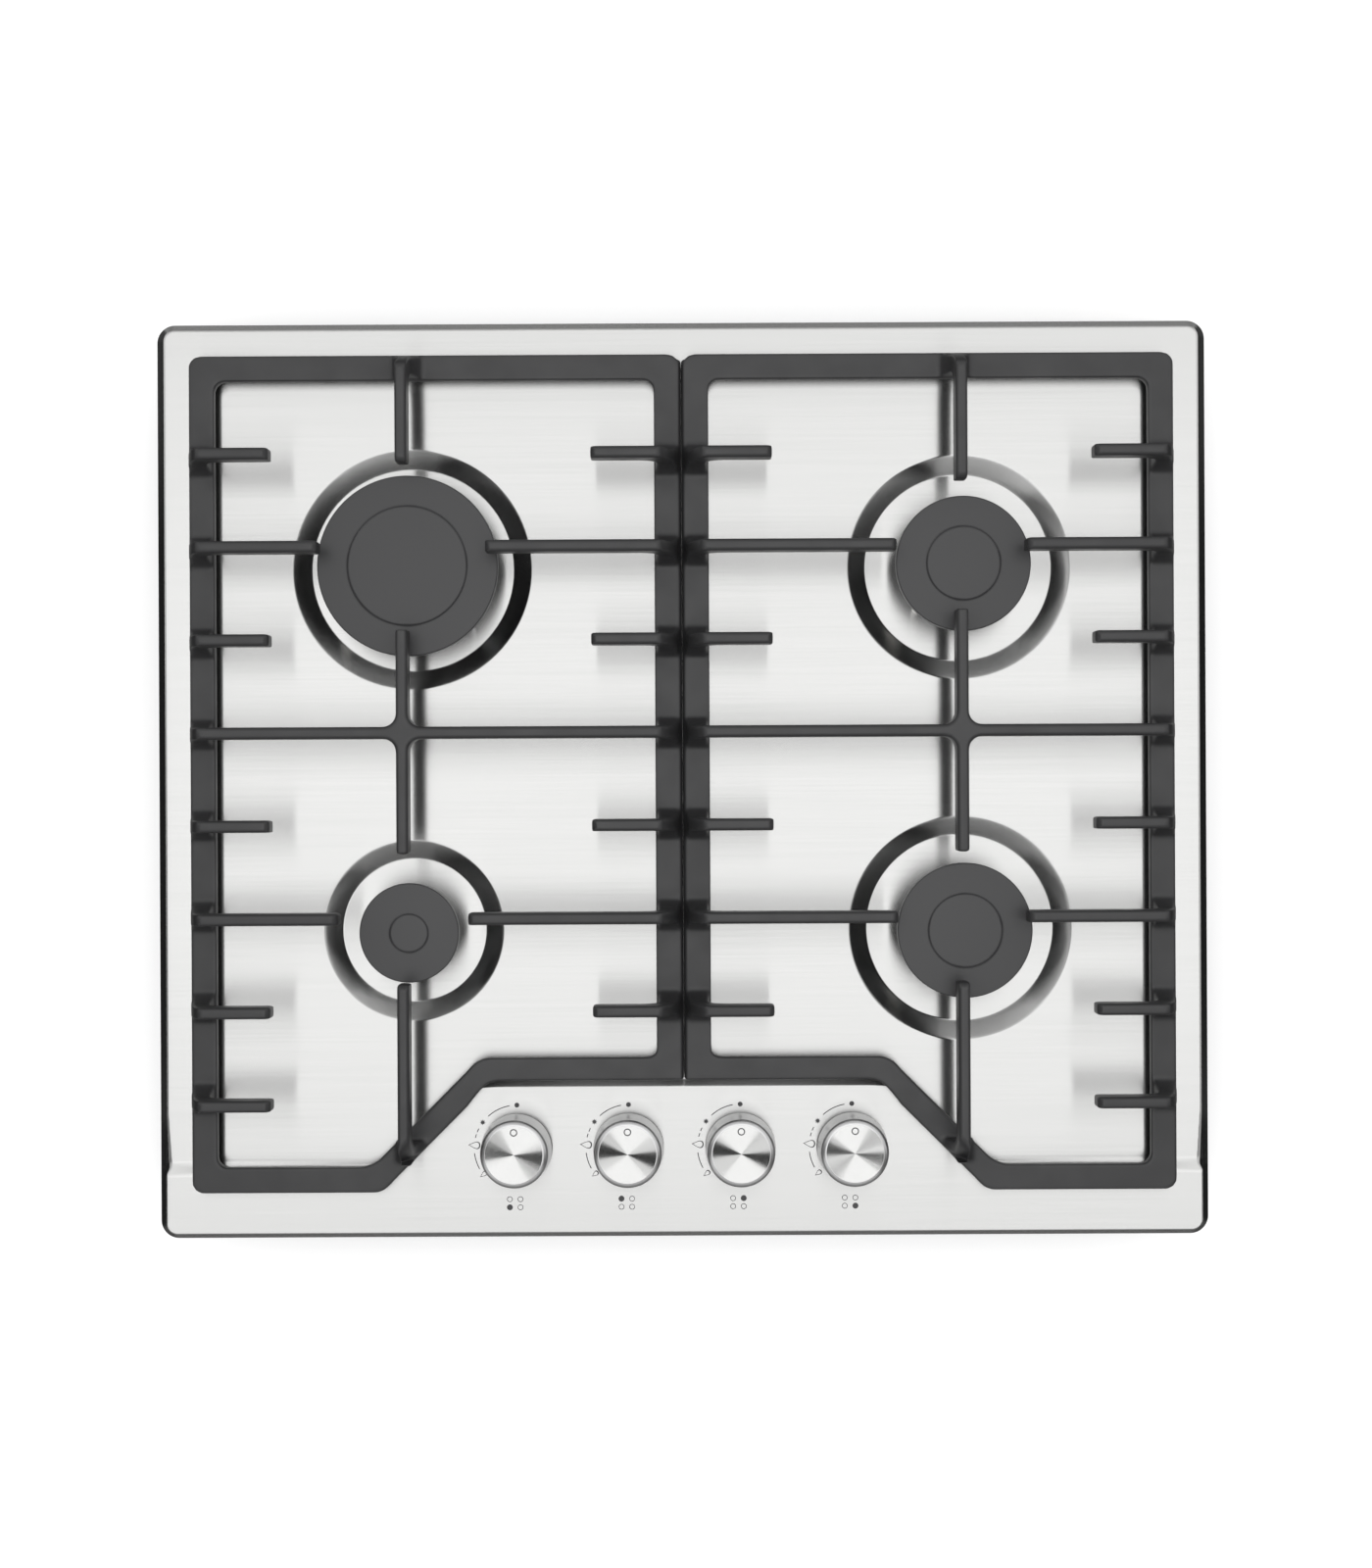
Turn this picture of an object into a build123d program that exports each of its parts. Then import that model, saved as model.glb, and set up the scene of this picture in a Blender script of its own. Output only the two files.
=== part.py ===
from build123d import *
from math import atan2, cos, degrees, radians, sin
import os

# Four-burner gas cooktop, in millimetres.
# The origin is the middle of the worktop cut-out, on the worktop: x runs right, y to the rear, z up.
# The sizes come first, then the levels that follow from them, then one section for each part of the hob.

# ---- Top plate: one pressed stainless sheet with a rolled edge ----
plate_width = 585.0
plate_depth = 510.0
plate_corner = 10.0
plate_sheet = 1.0
edge_radius = 3.4
field_top = 4.0
skirt_gap = 0.3
well_depth = 6.0
well_slope = 11.3
rapid_well_margin = 6.5
semi_rapid_well_margin = 14.5
auxiliary_well_margin = 12.25
panel_rise = 3.0
panel_ramp = 4.4
panel_side_y = -215.5
spindle_opening = 6.0

# ---- Worktop, rim seal and underbox ----
cutout_width = 560.0
cutout_depth = 480.0
cutout_clearance = 5.0
seal_width = 8.0
seal_inset = 4.0
box_sheet = 0.8
box_depth = 46.0
box_flange = 4.5
notch_width = 70.0
notch_depth = 45.0
wall_hole_clearance = 0.3

# ---- Worktop clamps, each in its own pocket ----
clamp_length = 56.0
clamp_width = 18.0
clamp_sheet = 2.0
clamp_y = 150.0
clamp_pin = 2.5
clamp_pin_end = 6.0
clamp_head = 1.2
clamp_lift = 1.7
clamp_play = 0.1
pin_clearance = 0.05
pocket_depth = 7.0
pocket_width = 26.0
pocket_length = 70.0
pocket_clearance = 2.0

# ---- Burners ----
left_burner_x = -150.2
right_burner_x = 154.3
rear_burner_y = 117.6
front_burner_y = -83.5
rapid_cap = 99.0
semi_rapid_cap = 74.0
auxiliary_cap = 54.5
cap_thickness = 5.2
cap_boss_inset = 16.8
cap_boss_rise = 1.2
crown_height = 19.0
crown_inset = 3.0
mixing_tube = 18.0
mixing_tube_depth = 3.4
mixing_tube_clearance = 0.3
slot_width = 2.4
slot_depth = 7.0
slot_length = 5.0
cup_height = 26.0
cup_wall = 6.0
cup_inset = 4.0
cup_rim = 7.0
ear_thickness = 2.5
ear_width = 12.0
ear_overlap = 1.0
injector_hexagon = 8.0
injector_height = 6.0
injector_nozzle = 2.5
injector_nozzle_height = 3.0
injector_nozzle_taper = 15.0

# ---- Igniter and thermocouple: each stands in a notch of its crown, under the cap's rim ----
igniter_radius = 2.5
igniter_foot = 9.0
igniter_rise = 10.0
igniter_tip = 0.8
igniter_tip_rise = 4.5
igniter_angle = 225.0
probe_radius = 2.0
probe_rise = 15.0
probe_angle = 315.0
notch_clearance = 1.5
floor_hole_clearance = 0.3
rim_cover = 1.5

# ---- Pan supports: cast iron ----
support_width = 271.0
support_gap = 2.0
support_rear_y = 234.8
support_front_y = -227.6
support_mid_front_y = -169.4
support_notch_half = 108.8
bar_width = 14.0
bar_height = 6.0
outer_corner = 6.5
inner_corner = 6.0
upper_bend = 20.0
lower_bend = 11.0
foot_height = 3.6
foot_radius = 5.0
foot_inset = 20.0
finger_top = 38.0
finger_height = 12.0
finger_width = 6.6
finger_bevel = 1.3
finger_pitch = 50.2
finger_rear_y = 176.3
finger_rows = 8
tip_bevel = 2.5
post_flare = 17.0
post_sag = 1.6
post_waist_drop = 1.6
post_setback = 1.0
post_lean = 1.6
shoulder_length = 12.0
shoulder_drop = 9.5
heel_size = 9.0
shoulder_sag = 2.5
outer_stub = 49.5
inner_stub = 48.0
cross_x = 151.0
cross_ring = 35.0
rapid_cross_ring = 45.0
crossing_corner = 7.0

# ---- Knobs and valves ----
knob_pitch = 62.0
knob_y = -204.3
knob_base = 39.0
knob_top = 35.0
knob_height = 17.5
knob_skirt = 3.0
knob_travel = 3.0
knob_gap = 3.6
spindle_diameter = 6.0
spindle_flat = 1.2
spindle_fit = 0.05
spindle_hole_clearance = 0.3
spindle_reach = 12.0
spindle_grip = 7.0
spindle_end_gap = 0.5
plug_diameter = 8.0
plug_height = 14.0
plug_fit = 0.05
plug_cover = 3.0
valve_width = 24.0
valve_height = 22.0
valve_drop = 10.0
valve_front = 13.0
valve_rear = 17.0

# ---- Gas pipework ----
rail_diameter = 15.0
rail_seat_gap = 0.1
rail_bend = 30.0
rail_side_gap = 10.0
rail_overhang = 8.0
pipe_diameter = 8.0
pipe_bend = 24.0
inlet_thread = 20.96
inlet_length = 22.0
inlet_neck = 19.0
inlet_neck_length = 2.0
inlet_hexagon = 27.0
inlet_hexagon_length = 14.0

# ---- Cable gland and spark generator ----
gland_inset = 20.0
gland_radius = 8.0
gland_bore = 4.0
gland_length = 14.0
gland_nut = 22.0
gland_nut_length = 5.0
gland_hole_clearance = 0.1
generator_width = 70.0
generator_depth = 42.0
generator_height = 26.0
generator_y = 185.0
generator_corner = 3.0
terminal_width = 7.0
terminal_height = 6.0
terminal_pitch = 14.0
terminals = 4

# ---- Levels and places that follow from the sizes above ----
panel_top = field_top + panel_rise
well_floor = field_top - well_depth
floor_under = well_floor - plate_sheet
bar_bottom = field_top + foot_height
bar_top = bar_bottom + bar_height
finger_level = field_top + finger_top
finger_under = finger_level - finger_height
crown_top = well_floor + crown_height
box_width = cutout_width - 2 * cutout_clearance
box_length = cutout_depth - 2 * cutout_clearance
box_floor = -box_depth
box_inner_floor = box_floor + box_sheet
notch_wall_y = box_length / 2 - notch_depth
notch_wall_inside = notch_wall_y - box_sheet
seal_under_field = field_top - plate_sheet
seal_under_panel = panel_top - plate_sheet
valve_top = field_top - valve_drop
pipe_level = valve_top - valve_height / 2
plug_high = valve_top - plug_cover
plug_low = plug_high - plug_height
spindle_low = plug_high - spindle_grip
knob_bottom = panel_top + knob_gap
rail_y = knob_y - valve_front - rail_diameter / 2
rail_x = box_width / 2 - box_sheet - rail_side_gap - rail_diameter / 2
gland_x = box_width / 2 - notch_width + gland_inset
support_near = support_gap / 2
support_far = support_near + support_width
octagon_turn = 22.5
diagonal_turn = 2**0.5 - 1
sides = ((-1, "left"), (1, "right"))
clamp_places = ((-clamp_y, "front"), (clamp_y - notch_depth, "rear"))
standing = (Align.CENTER, Align.CENTER, Align.MIN)
hanging = (Align.CENTER, Align.CENTER, Align.MAX)

os.makedirs("parts", exist_ok=True)


def save(shape, name):
    """Write one piece, or one group of like pieces, as its own file."""
    export_step(shape, os.path.join("parts", name + ".step"))


def group(pieces):
    """Keep like pieces apart from each other in one compound."""
    return Compound(children=[solid for piece in pieces for solid in piece.solids()])


def rounded_plate(width, depth, corner, low, high):
    """A block with round upright corners, between two levels."""
    return extrude(Pos(0, 0, low) * RectangleRounded(width, depth, corner), high - low)


def upright(radius, low, high, x=0.0, y=0.0):
    """A round bar along z."""
    return extrude(Pos(x, y, low) * Circle(radius), high - low)


def arc(start, end, sag):
    """A round line from start to end whose middle stands sag to the left of the straight one."""
    start = Vector(*start)
    end = Vector(*end)
    along = (end - start).normalized()
    middle = (start + end) / 2 + Vector(-along.Y, along.X) * sag
    return ThreePointArc(start, middle, end)


# ---- Burner table: where each one is, and how large ----
class Burner:
    def __init__(self, name, x, y, cap, well_margin, slots):
        self.name = name
        self.x = x
        self.y = y
        self.cap_radius = cap / 2
        self.crown_radius = cap / 2 - crown_inset
        self.slots = slots
        self.floor_radius = self.cap_radius + well_margin
        self.well_radius = self.floor_radius + well_slope

    def beside_crown(self, angle):
        """The place of an upright piece in the crown's side."""
        reach = self.crown_radius - rim_cover
        return self.x + reach * cos(radians(angle)), self.y + reach * sin(radians(angle))


burners = [
    Burner("rear_left", left_burner_x, rear_burner_y, rapid_cap, rapid_well_margin, 24),
    Burner("rear_right", right_burner_x, rear_burner_y, semi_rapid_cap, semi_rapid_well_margin, 18),
    Burner("front_left", left_burner_x, front_burner_y, auxiliary_cap, auxiliary_well_margin, 12),
    Burner("front_right", right_burner_x, front_burner_y, semi_rapid_cap, semi_rapid_well_margin, 18),
]
burner_of = {burner.name: burner for burner in burners}
crown_notches = ((igniter_angle, igniter_radius), (probe_angle, probe_radius))

# Knobs from left to right, each with the burner that it serves
knob_places = [
    (-1.5 * knob_pitch, "front_left"),
    (-0.5 * knob_pitch, "rear_left"),
    (0.5 * knob_pitch, "rear_right"),
    (1.5 * knob_pitch, "front_right"),
]


# ---- Top plate ----
def panel_outline(shift):
    """Plan of the raised panel, its rear line moved back by shift. It follows the pan supports' front bars."""
    middle_y = support_mid_front_y + bar_width / 2
    bend_x = support_notch_half + bar_width / 2 * diagonal_turn
    side_x = bend_x + middle_y - panel_side_y
    far_x = plate_width
    far_y = -plate_depth
    corners = [
        (-far_x, far_y),
        (far_x, far_y),
        (far_x, panel_side_y),
        (side_x, panel_side_y),
        (bend_x, middle_y),
        (-bend_x, middle_y),
        (-side_x, panel_side_y),
        (-far_x, panel_side_y),
    ]
    face = make_face(Polyline(corners, close=True))
    return offset(face, amount=shift, kind=Kind.INTERSECTION)


def pressed_form(inset):
    """The plate's outside, or its inside when inset is the sheet: drawn in by inset and lower by it."""
    low = skirt_gap - inset
    width = plate_width - 2 * inset
    depth = plate_depth - 2 * inset
    corner = plate_corner - inset
    bend = edge_radius - inset
    field = rounded_plate(width, depth, corner, low, field_top - inset)
    field = fillet(field.edges().group_by(Axis.Z)[-1], bend)
    raised = rounded_plate(width, depth, corner, low, panel_top - inset)
    raised = fillet(raised.edges().group_by(Axis.Z)[-1], bend)
    foot = panel_outline(panel_ramp / 2)
    below = extrude(Pos(0, 0, low) * foot, field_top - inset - low)
    ramp_angle = degrees(atan2(panel_ramp, panel_rise))
    ramp = extrude(Pos(0, 0, field_top - inset) * foot, panel_rise, taper=ramp_angle)
    return field + (raised & (below + ramp))


def well_press(burner):
    """The sheet of one burner well, from the field down the slope to the floor's hole."""
    hole = mixing_tube / 2 + mixing_tube_clearance
    lip = burner.well_radius + plate_sheet
    line = [
        (lip, field_top),
        (burner.well_radius, field_top),
        (burner.floor_radius, well_floor),
        (hole, well_floor),
        (hole, floor_under),
        (burner.floor_radius, floor_under),
        (burner.well_radius, field_top - plate_sheet),
        (lip, field_top - plate_sheet),
    ]
    profile = make_face(Plane.XZ * Polyline(line, close=True))
    return Pos(burner.x, burner.y, 0) * revolve(profile, Axis.Z)


top_plate = pressed_form(0) - pressed_form(plate_sheet)
for burner in burners:
    lip = burner.well_radius + plate_sheet
    top_plate -= upright(lip, floor_under, panel_top, burner.x, burner.y)
    top_plate += well_press(burner)
    for angle, radius in crown_notches:
        x, y = burner.beside_crown(angle)
        top_plate -= upright(radius + floor_hole_clearance, floor_under, field_top, x, y)
for x, _ in knob_places:
    top_plate -= upright(spindle_opening, field_top - plate_sheet, panel_top, x, knob_y)
save(top_plate, "top_plate")


# ---- Rim seal: foam between plate and worktop, thicker under the raised panel ----
def seal_ring(high):
    width = plate_width - 2 * seal_inset
    depth = plate_depth - 2 * seal_inset
    outer = rounded_plate(width, depth, plate_corner - seal_inset, 0, high)
    inner = Box(width - 2 * seal_width, depth - 2 * seal_width, high, align=standing)
    return outer - inner


panel_part = extrude(panel_outline(-panel_ramp / 2 - plate_sheet), seal_under_panel)
save(seal_ring(seal_under_field) + (seal_ring(seal_under_panel) & panel_part), "rim_seal")


# ---- Underbox: folded steel tray with a notch at the rear right and four clamp pockets ----
def tray_outline(grow):
    """Plan of the tray, grown outward by grow: a rectangle less the rear right notch."""
    half_x = box_width / 2 + grow
    half_y = box_length / 2 + grow
    notch_x = box_width / 2 - notch_width + grow
    notch_y = notch_wall_y + grow
    corners = [
        (-half_x, -half_y),
        (half_x, -half_y),
        (half_x, notch_y),
        (notch_x, notch_y),
        (notch_x, half_y),
        (-half_x, half_y),
    ]
    return make_face(Polyline(corners, close=True))


def pocket(side, y, grow):
    """One clamp pocket in the floor, open to the side, grown by the sheet for its inside."""
    width = pocket_width + grow
    block = Box(width, pocket_length + 2 * grow, pocket_depth + grow, align=standing)
    return Pos(side * (box_width / 2 - width / 2), y, box_floor) * block


def clamp_pin_place(side, y):
    """Where a clamp's pin stands: clear of its pocket's end as the strip turns."""
    x = side * (box_width / 2 - clamp_width / 2)
    return x, y - pocket_length / 2 + clamp_width / 2 + pocket_clearance


def tray_form(grow, low):
    """The tray's outside, or its inside when grow is minus the sheet."""
    form = extrude(Pos(0, 0, low) * tray_outline(grow), seal_under_field - low)
    for side, _ in sides:
        for y, _ in clamp_places:
            form -= pocket(side, y, -grow)
    return form


def notch_wall_plane(x):
    """On the inside of the notch's wall, looking to the rear, at a fitting's place."""
    return Plane((x, notch_wall_inside, pipe_level), x_dir=(-1, 0, 0), z_dir=(0, 1, 0))


underbox = tray_form(0, box_floor) - tray_form(-box_sheet, box_inner_floor)
flange = tray_outline(box_flange) - tray_outline(0)
underbox += extrude(Pos(0, 0, seal_under_field - box_sheet) * flange, box_sheet)
for side, _ in sides:
    for y, _ in clamp_places:
        x, pin_y = clamp_pin_place(side, y)
        underbox -= upright(clamp_pin + pin_clearance, box_floor, 0, x, pin_y)
inlet_hole = Circle(inlet_thread / 2 + wall_hole_clearance)
gland_hole = Circle(gland_radius + gland_hole_clearance)
underbox -= extrude(notch_wall_plane(rail_x) * inlet_hole, box_sheet)
underbox -= extrude(notch_wall_plane(gland_x) * gland_hole, box_sheet)
save(underbox, "underbox")


# ---- Burners: cup and injector below the plate, crown and cap above ----
def burner_cup(burner):
    """Cast cup under the well floor, with two screw ears and a bore for the crown's mixing tube."""
    low_flat = mixing_tube / 2 + cup_wall
    top_flat = max(burner.crown_radius - cup_inset, low_flat)
    low = floor_under - cup_height
    stem = RegularPolygon(low_flat, 8, major_radius=False, rotation=octagon_turn)
    rim = RegularPolygon(top_flat, 8, major_radius=False, rotation=octagon_turn)
    body = extrude(Pos(0, 0, low) * stem, cup_height)
    body += extrude(Pos(0, 0, floor_under - cup_rim) * rim, cup_rim)
    body -= upright(mixing_tube / 2 + mixing_tube_clearance, low + cup_wall, floor_under)
    ears = Box(ear_width, 2 * (top_flat + ear_width), ear_thickness, align=hanging)
    ears = Pos(0, 0, floor_under) * ears
    ears -= upright(top_flat - ear_overlap, floor_under - ear_thickness, floor_under)
    return Pos(burner.x, burner.y, 0) * (body + ears)


def burner_crown(burner):
    """Cast crown with a mixing tube below, flame slots round its top, and notches for igniter and probe."""
    crown = upright(burner.crown_radius, well_floor, crown_top)
    crown += upright(mixing_tube / 2, well_floor - mixing_tube_depth, well_floor)
    slot = Pos(burner.crown_radius, 0, crown_top) * Box(2 * slot_length, slot_width, slot_depth, align=hanging)
    for step in range(burner.slots):
        crown -= Rot(0, 0, (step + 0.5) * 360 / burner.slots) * slot
    crown = Pos(burner.x, burner.y, 0) * crown
    for angle, radius in crown_notches:
        x, y = burner.beside_crown(angle)
        crown -= upright(radius + notch_clearance, floor_under, crown_top, x, y)
    return crown


def burner_cap(burner):
    """Enamelled cap with a raised middle."""
    rim = crown_top + cap_thickness
    boss = burner.cap_radius - cap_boss_inset
    cap = upright(burner.cap_radius, crown_top, rim) + upright(boss, rim, rim + cap_boss_rise)
    return Pos(burner.x, burner.y, 0) * cap


def injector(burner):
    """Brass jet standing on the cup's floor: a hexagon with a tapered tip."""
    seat = floor_under - cup_height + cup_wall
    hexagon = RegularPolygon(injector_hexagon / 2, 6, major_radius=False)
    nozzle = RegularPolygon(injector_nozzle, 6, major_radius=False)
    body = extrude(Pos(0, 0, seat) * hexagon, injector_height)
    tip = Pos(0, 0, seat + injector_height) * nozzle
    body += extrude(tip, injector_nozzle_height, taper=injector_nozzle_taper)
    return Pos(burner.x, burner.y, 0) * body


save(group([burner_cup(burner) for burner in burners]), "burner_cups")
save(group([injector(burner) for burner in burners]), "injectors")
insulators = []
tips = []
probes = []
for burner in burners:
    save(burner_crown(burner), "burner_head_" + burner.name)
    save(burner_cap(burner), "burner_cap_" + burner.name)
    x, y = burner.beside_crown(igniter_angle)
    top = well_floor + igniter_rise
    insulators.append(upright(igniter_radius, floor_under - igniter_foot, top, x, y))
    tips.append(extrude(Pos(x, y, top) * RegularPolygon(igniter_tip, 6), igniter_tip_rise))
    x, y = burner.beside_crown(probe_angle)
    probes.append(upright(probe_radius, floor_under - igniter_foot, well_floor + probe_rise, x, y))
save(group(insulators), "igniter_insulators")
save(group(tips), "igniter_tips")
save(group(probes), "thermocouples")


# ---- Pan supports: a cast frame with fingers that rise from it ----
def frame_outline(inward):
    """Plan of the right support's frame, drawn in by inward."""
    turn = inward * diagonal_turn
    notch_x = support_notch_half + support_mid_front_y - support_front_y
    corners = [
        (support_near + inward, support_rear_y - inward),
        (support_far - inward, support_rear_y - inward),
        (support_far - inward, support_front_y + inward),
        (notch_x + turn, support_front_y + inward),
        (support_notch_half + turn, support_mid_front_y + inward),
        (support_near + inward, support_mid_front_y + inward),
    ]
    face = make_face(Polyline(corners, close=True))
    corner = inner_corner if inward else outer_corner
    bends = {3: lower_bend + inward / 2, 4: upper_bend - inward / 2}
    for index, point in enumerate(corners):
        vertex = face.vertices().sort_by_distance((*point, 0))[0]
        face = fillet(vertex, bends.get(index, corner))
    return face


def mirrored_section(right):
    """A face from the lines of its right half and their mirror image, closed straight across at both ends."""
    left = [edge.mirror(Plane.YZ) for edge in right]
    ends = [right[0] @ 0, right[-1] @ 1]
    closing = [Line((end.X, end.Y), (-end.X, end.Y)) for end in ends]
    return make_face(right + left + closing)


def finger_section(low):
    """End view of a finger: flared where it stands on the frame, bevelled along its top."""
    half = finger_width / 2
    flare = post_flare / 2
    waist = finger_under - post_waist_drop
    return mirrored_section([
        Line((flare, low), (flare, bar_top)),
        arc((flare, bar_top), (half, waist), post_sag),
        Line((half, waist), (half, finger_level - finger_bevel)),
        Line((half, finger_level - finger_bevel), (half - finger_bevel, finger_level)),
    ])


def finger_side(low, length):
    """Side view of a finger, from the frame's outer edge to its tip."""
    knee = (post_setback + post_lean, finger_level - shoulder_drop)
    shoulder = (shoulder_length, finger_level)
    tip_high = (length - tip_bevel, finger_level)
    tip_low = (length, finger_level - tip_bevel)
    inner = bar_width - post_setback
    heel_high = (inner + heel_size, finger_under)
    heel_low = (inner, finger_under - heel_size)
    return make_face([
        Line((inner, low), (post_setback, low)),
        Line((post_setback, low), (post_setback, bar_top)),
        Line((post_setback, bar_top), knee),
        arc(knee, shoulder, shoulder_sag),
        Line(shoulder, tip_high),
        Line(tip_high, tip_low),
        Line(tip_low, (length, finger_under)),
        Line((length, finger_under), heel_high),
        arc(heel_high, heel_low, -shoulder_sag),
        Line(heel_low, (inner, low)),
    ])


def finger(x, y, heading, length):
    """One finger with its post, from a place on the frame's outer edge, running along heading."""
    low = bar_top - bar_height / 2
    side = extrude(Plane.XZ * finger_side(low, length), post_flare, both=True)
    front = extrude(Plane.YZ * finger_section(low), length)
    return Pos(x, y, 0) * Rot(0, 0, heading) * (side & front)


def cross_bar(low_y, high_y):
    """The free bar along y that crosses the through bar."""
    half = finger_width / 2
    section = mirrored_section([
        Line((half, finger_under), (half, finger_level - finger_bevel)),
        Line((half, finger_level - finger_bevel), (half - finger_bevel, finger_level)),
    ])
    return extrude(Plane((cross_x, high_y, 0), x_dir=(1, 0, 0), z_dir=(0, -1, 0)) * section, high_y - low_y)


def crossing(y):
    """The hollow corners between the through bar and the cross bar, bevelled like them along the top."""
    reach = finger_width / 2 + crossing_corner
    plan = Rectangle(2 * reach, 2 * reach)
    for corner in GridLocations(2 * reach, 2 * reach, 2, 2):
        plan -= corner * Circle(crossing_corner)
    body = extrude(Pos(cross_x, y, finger_under) * plan, finger_height - finger_bevel)
    return body + extrude(Pos(cross_x, y, finger_level - finger_bevel) * plan, finger_bevel, taper=45)


def pan_support(ring):
    """The right support. The rear cross leaves a ring of the given radius free."""
    body = extrude(Pos(0, 0, bar_bottom) * (frame_outline(0) - frame_outline(bar_width)), bar_height)
    rows = [finger_rear_y - step * finger_pitch for step in range(finger_rows)]
    rear_cross, through, front_cross = rows[1], rows[3], rows[5]
    from_far = support_far - cross_x
    from_near = cross_x - support_near
    outer = {rear_cross: from_far - ring, through: from_far, front_cross: from_far - cross_ring}
    inner = {rear_cross: from_near - ring, through: from_near, front_cross: from_near - cross_ring}
    for row in rows:
        body += finger(support_far, row, 180, outer.get(row, outer_stub))
    for row in rows[:-1]:
        body += finger(support_near, row, 0, inner.get(row, inner_stub))
    diagonal_y = support_mid_front_y + support_notch_half - cross_x
    body += finger(cross_x, support_rear_y, -90, support_rear_y - rear_cross - ring)
    body += finger(cross_x, diagonal_y, 90, front_cross - cross_ring - diagonal_y)
    body += cross_bar(front_cross + cross_ring, rear_cross - ring)
    body += crossing(through)
    return body


def support_feet():
    """Rubber feet of the right support, on the cooking field."""
    near = support_near + bar_width / 2
    far = support_far - bar_width / 2
    places = [
        (near, support_rear_y - foot_inset),
        (far, support_rear_y - foot_inset),
        (far, panel_side_y + foot_inset / 2 + panel_ramp),
        (near, support_mid_front_y + foot_inset),
    ]
    pad = RegularPolygon(foot_radius, 8)
    return [extrude(Pos(x, y, field_top) * pad, foot_height) for x, y in places]


save(pan_support(cross_ring), "right_pan_support")
save(mirror(pan_support(rapid_cross_ring), Plane.YZ), "left_pan_support")
save(group(support_feet()), "right_support_feet")
save(group([mirror(foot, Plane.YZ) for foot in support_feet()]), "left_support_feet")


# ---- Valves on the gas rail, with their spindles and knobs ----
def d_section(radius, flat):
    """A round section with one flat, at the front."""
    return Circle(radius) - Pos(0, -radius, 0) * Rectangle(4 * radius, 2 * flat)


d_socket = d_section(spindle_diameter / 2 + spindle_fit, spindle_flat - spindle_fit)


def valve_body(x):
    """Valve block, seated on the rail in front, with the plug's bore and the spindle's hole."""
    front = rail_y
    rear = knob_y + valve_rear
    block = Pos(x, (front + rear) / 2, pipe_level) * Box(valve_width, rear - front, valve_height)
    rail_seat = Cylinder(rail_diameter / 2 + rail_seat_gap, valve_width)
    block -= Pos(x, rail_y, pipe_level) * Rot(0, 90, 0) * rail_seat
    block -= upright(plug_diameter / 2 + plug_fit, plug_low - plug_fit, plug_high + plug_fit, x, knob_y)
    block -= upright(spindle_diameter / 2 + spindle_hole_clearance, plug_high, valve_top, x, knob_y)
    return block


def valve_plug(x):
    """Plug that the spindle turns: its D bore lets the spindle slide down as the knob is pushed."""
    bore_low = spindle_low - knob_travel - spindle_end_gap
    plug = upright(plug_diameter / 2, plug_low, plug_high)
    plug -= extrude(Pos(0, 0, bore_low) * d_socket, plug_high - bore_low)
    return Pos(x, knob_y, 0) * plug


def spindle(x):
    """D shaft from inside the plug up into the knob."""
    section = d_section(spindle_diameter / 2, spindle_flat)
    return Pos(x, knob_y, spindle_low) * extrude(section, knob_bottom + spindle_reach - spindle_low)


def knob(x):
    """Knob with a wider skirt at its foot and the spindle's D socket."""
    body = upright(knob_base / 2, knob_bottom, knob_bottom + knob_skirt)
    body += upright(knob_top / 2, knob_bottom, knob_bottom + knob_height)
    body -= extrude(Pos(0, 0, knob_bottom) * d_socket, spindle_reach)
    return Pos(x, knob_y, 0) * body


for x, name in knob_places:
    save(valve_plug(x), "valve_plug_" + name)
    save(spindle(x), "valve_spindle_" + name)
    save(knob(x), "knob_" + name)
save(group([valve_body(x) for x, _ in knob_places]), "valve_bodies")


# ---- Gas pipework: the rail from the inlet along the right side and the front, and a pipe to each burner ----
def bent_tube(points, bend, radius):
    """A round tube along two straight runs, its corner turned in two mitred steps."""
    start, corner, end = [Vector(*point) for point in points]
    before = corner + (start - corner).normalized() * bend
    after = corner + (end - corner).normalized() * bend
    path = Polyline(start, before, after, end)
    section = Plane(origin=start, z_dir=corner - start) * Circle(radius)
    return sweep(section, path=path, transition=Transition.RIGHT)


def burner_pipe(x, burner):
    """The pipe from the valve at x, back and then sideways into the burner's cup."""
    inward = 1 if burner.x < 0 else -1
    cup_side = burner.x + inward * (mixing_tube / 2 + cup_wall)
    points = [
        (x, knob_y + valve_rear, pipe_level),
        (x, burner.y, pipe_level),
        (cup_side, burner.y, pipe_level),
    ]
    return bent_tube(points, pipe_bend, pipe_diameter / 2)


rail_points = [
    (knob_places[0][0] - valve_width / 2 - rail_overhang, rail_y, pipe_level),
    (rail_x, rail_y, pipe_level),
    (rail_x, notch_wall_inside - inlet_hexagon_length, pipe_level),
]
save(bent_tube(rail_points, rail_bend, rail_diameter / 2), "gas_rail")
save(group([burner_pipe(x, burner_of[name]) for x, name in knob_places]), "gas_pipes")

inlet_nut = RegularPolygon(inlet_hexagon / 2, 6, major_radius=False)
inlet = extrude(notch_wall_plane(rail_x) * inlet_nut, -inlet_hexagon_length)
inlet += extrude(notch_wall_plane(rail_x) * Circle(inlet_neck / 2), inlet_neck_length)
thread_start = notch_wall_plane(rail_x).offset(inlet_neck_length)
inlet += extrude(thread_start * Circle(inlet_thread / 2), inlet_length)
save(inlet, "gas_inlet")

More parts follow.
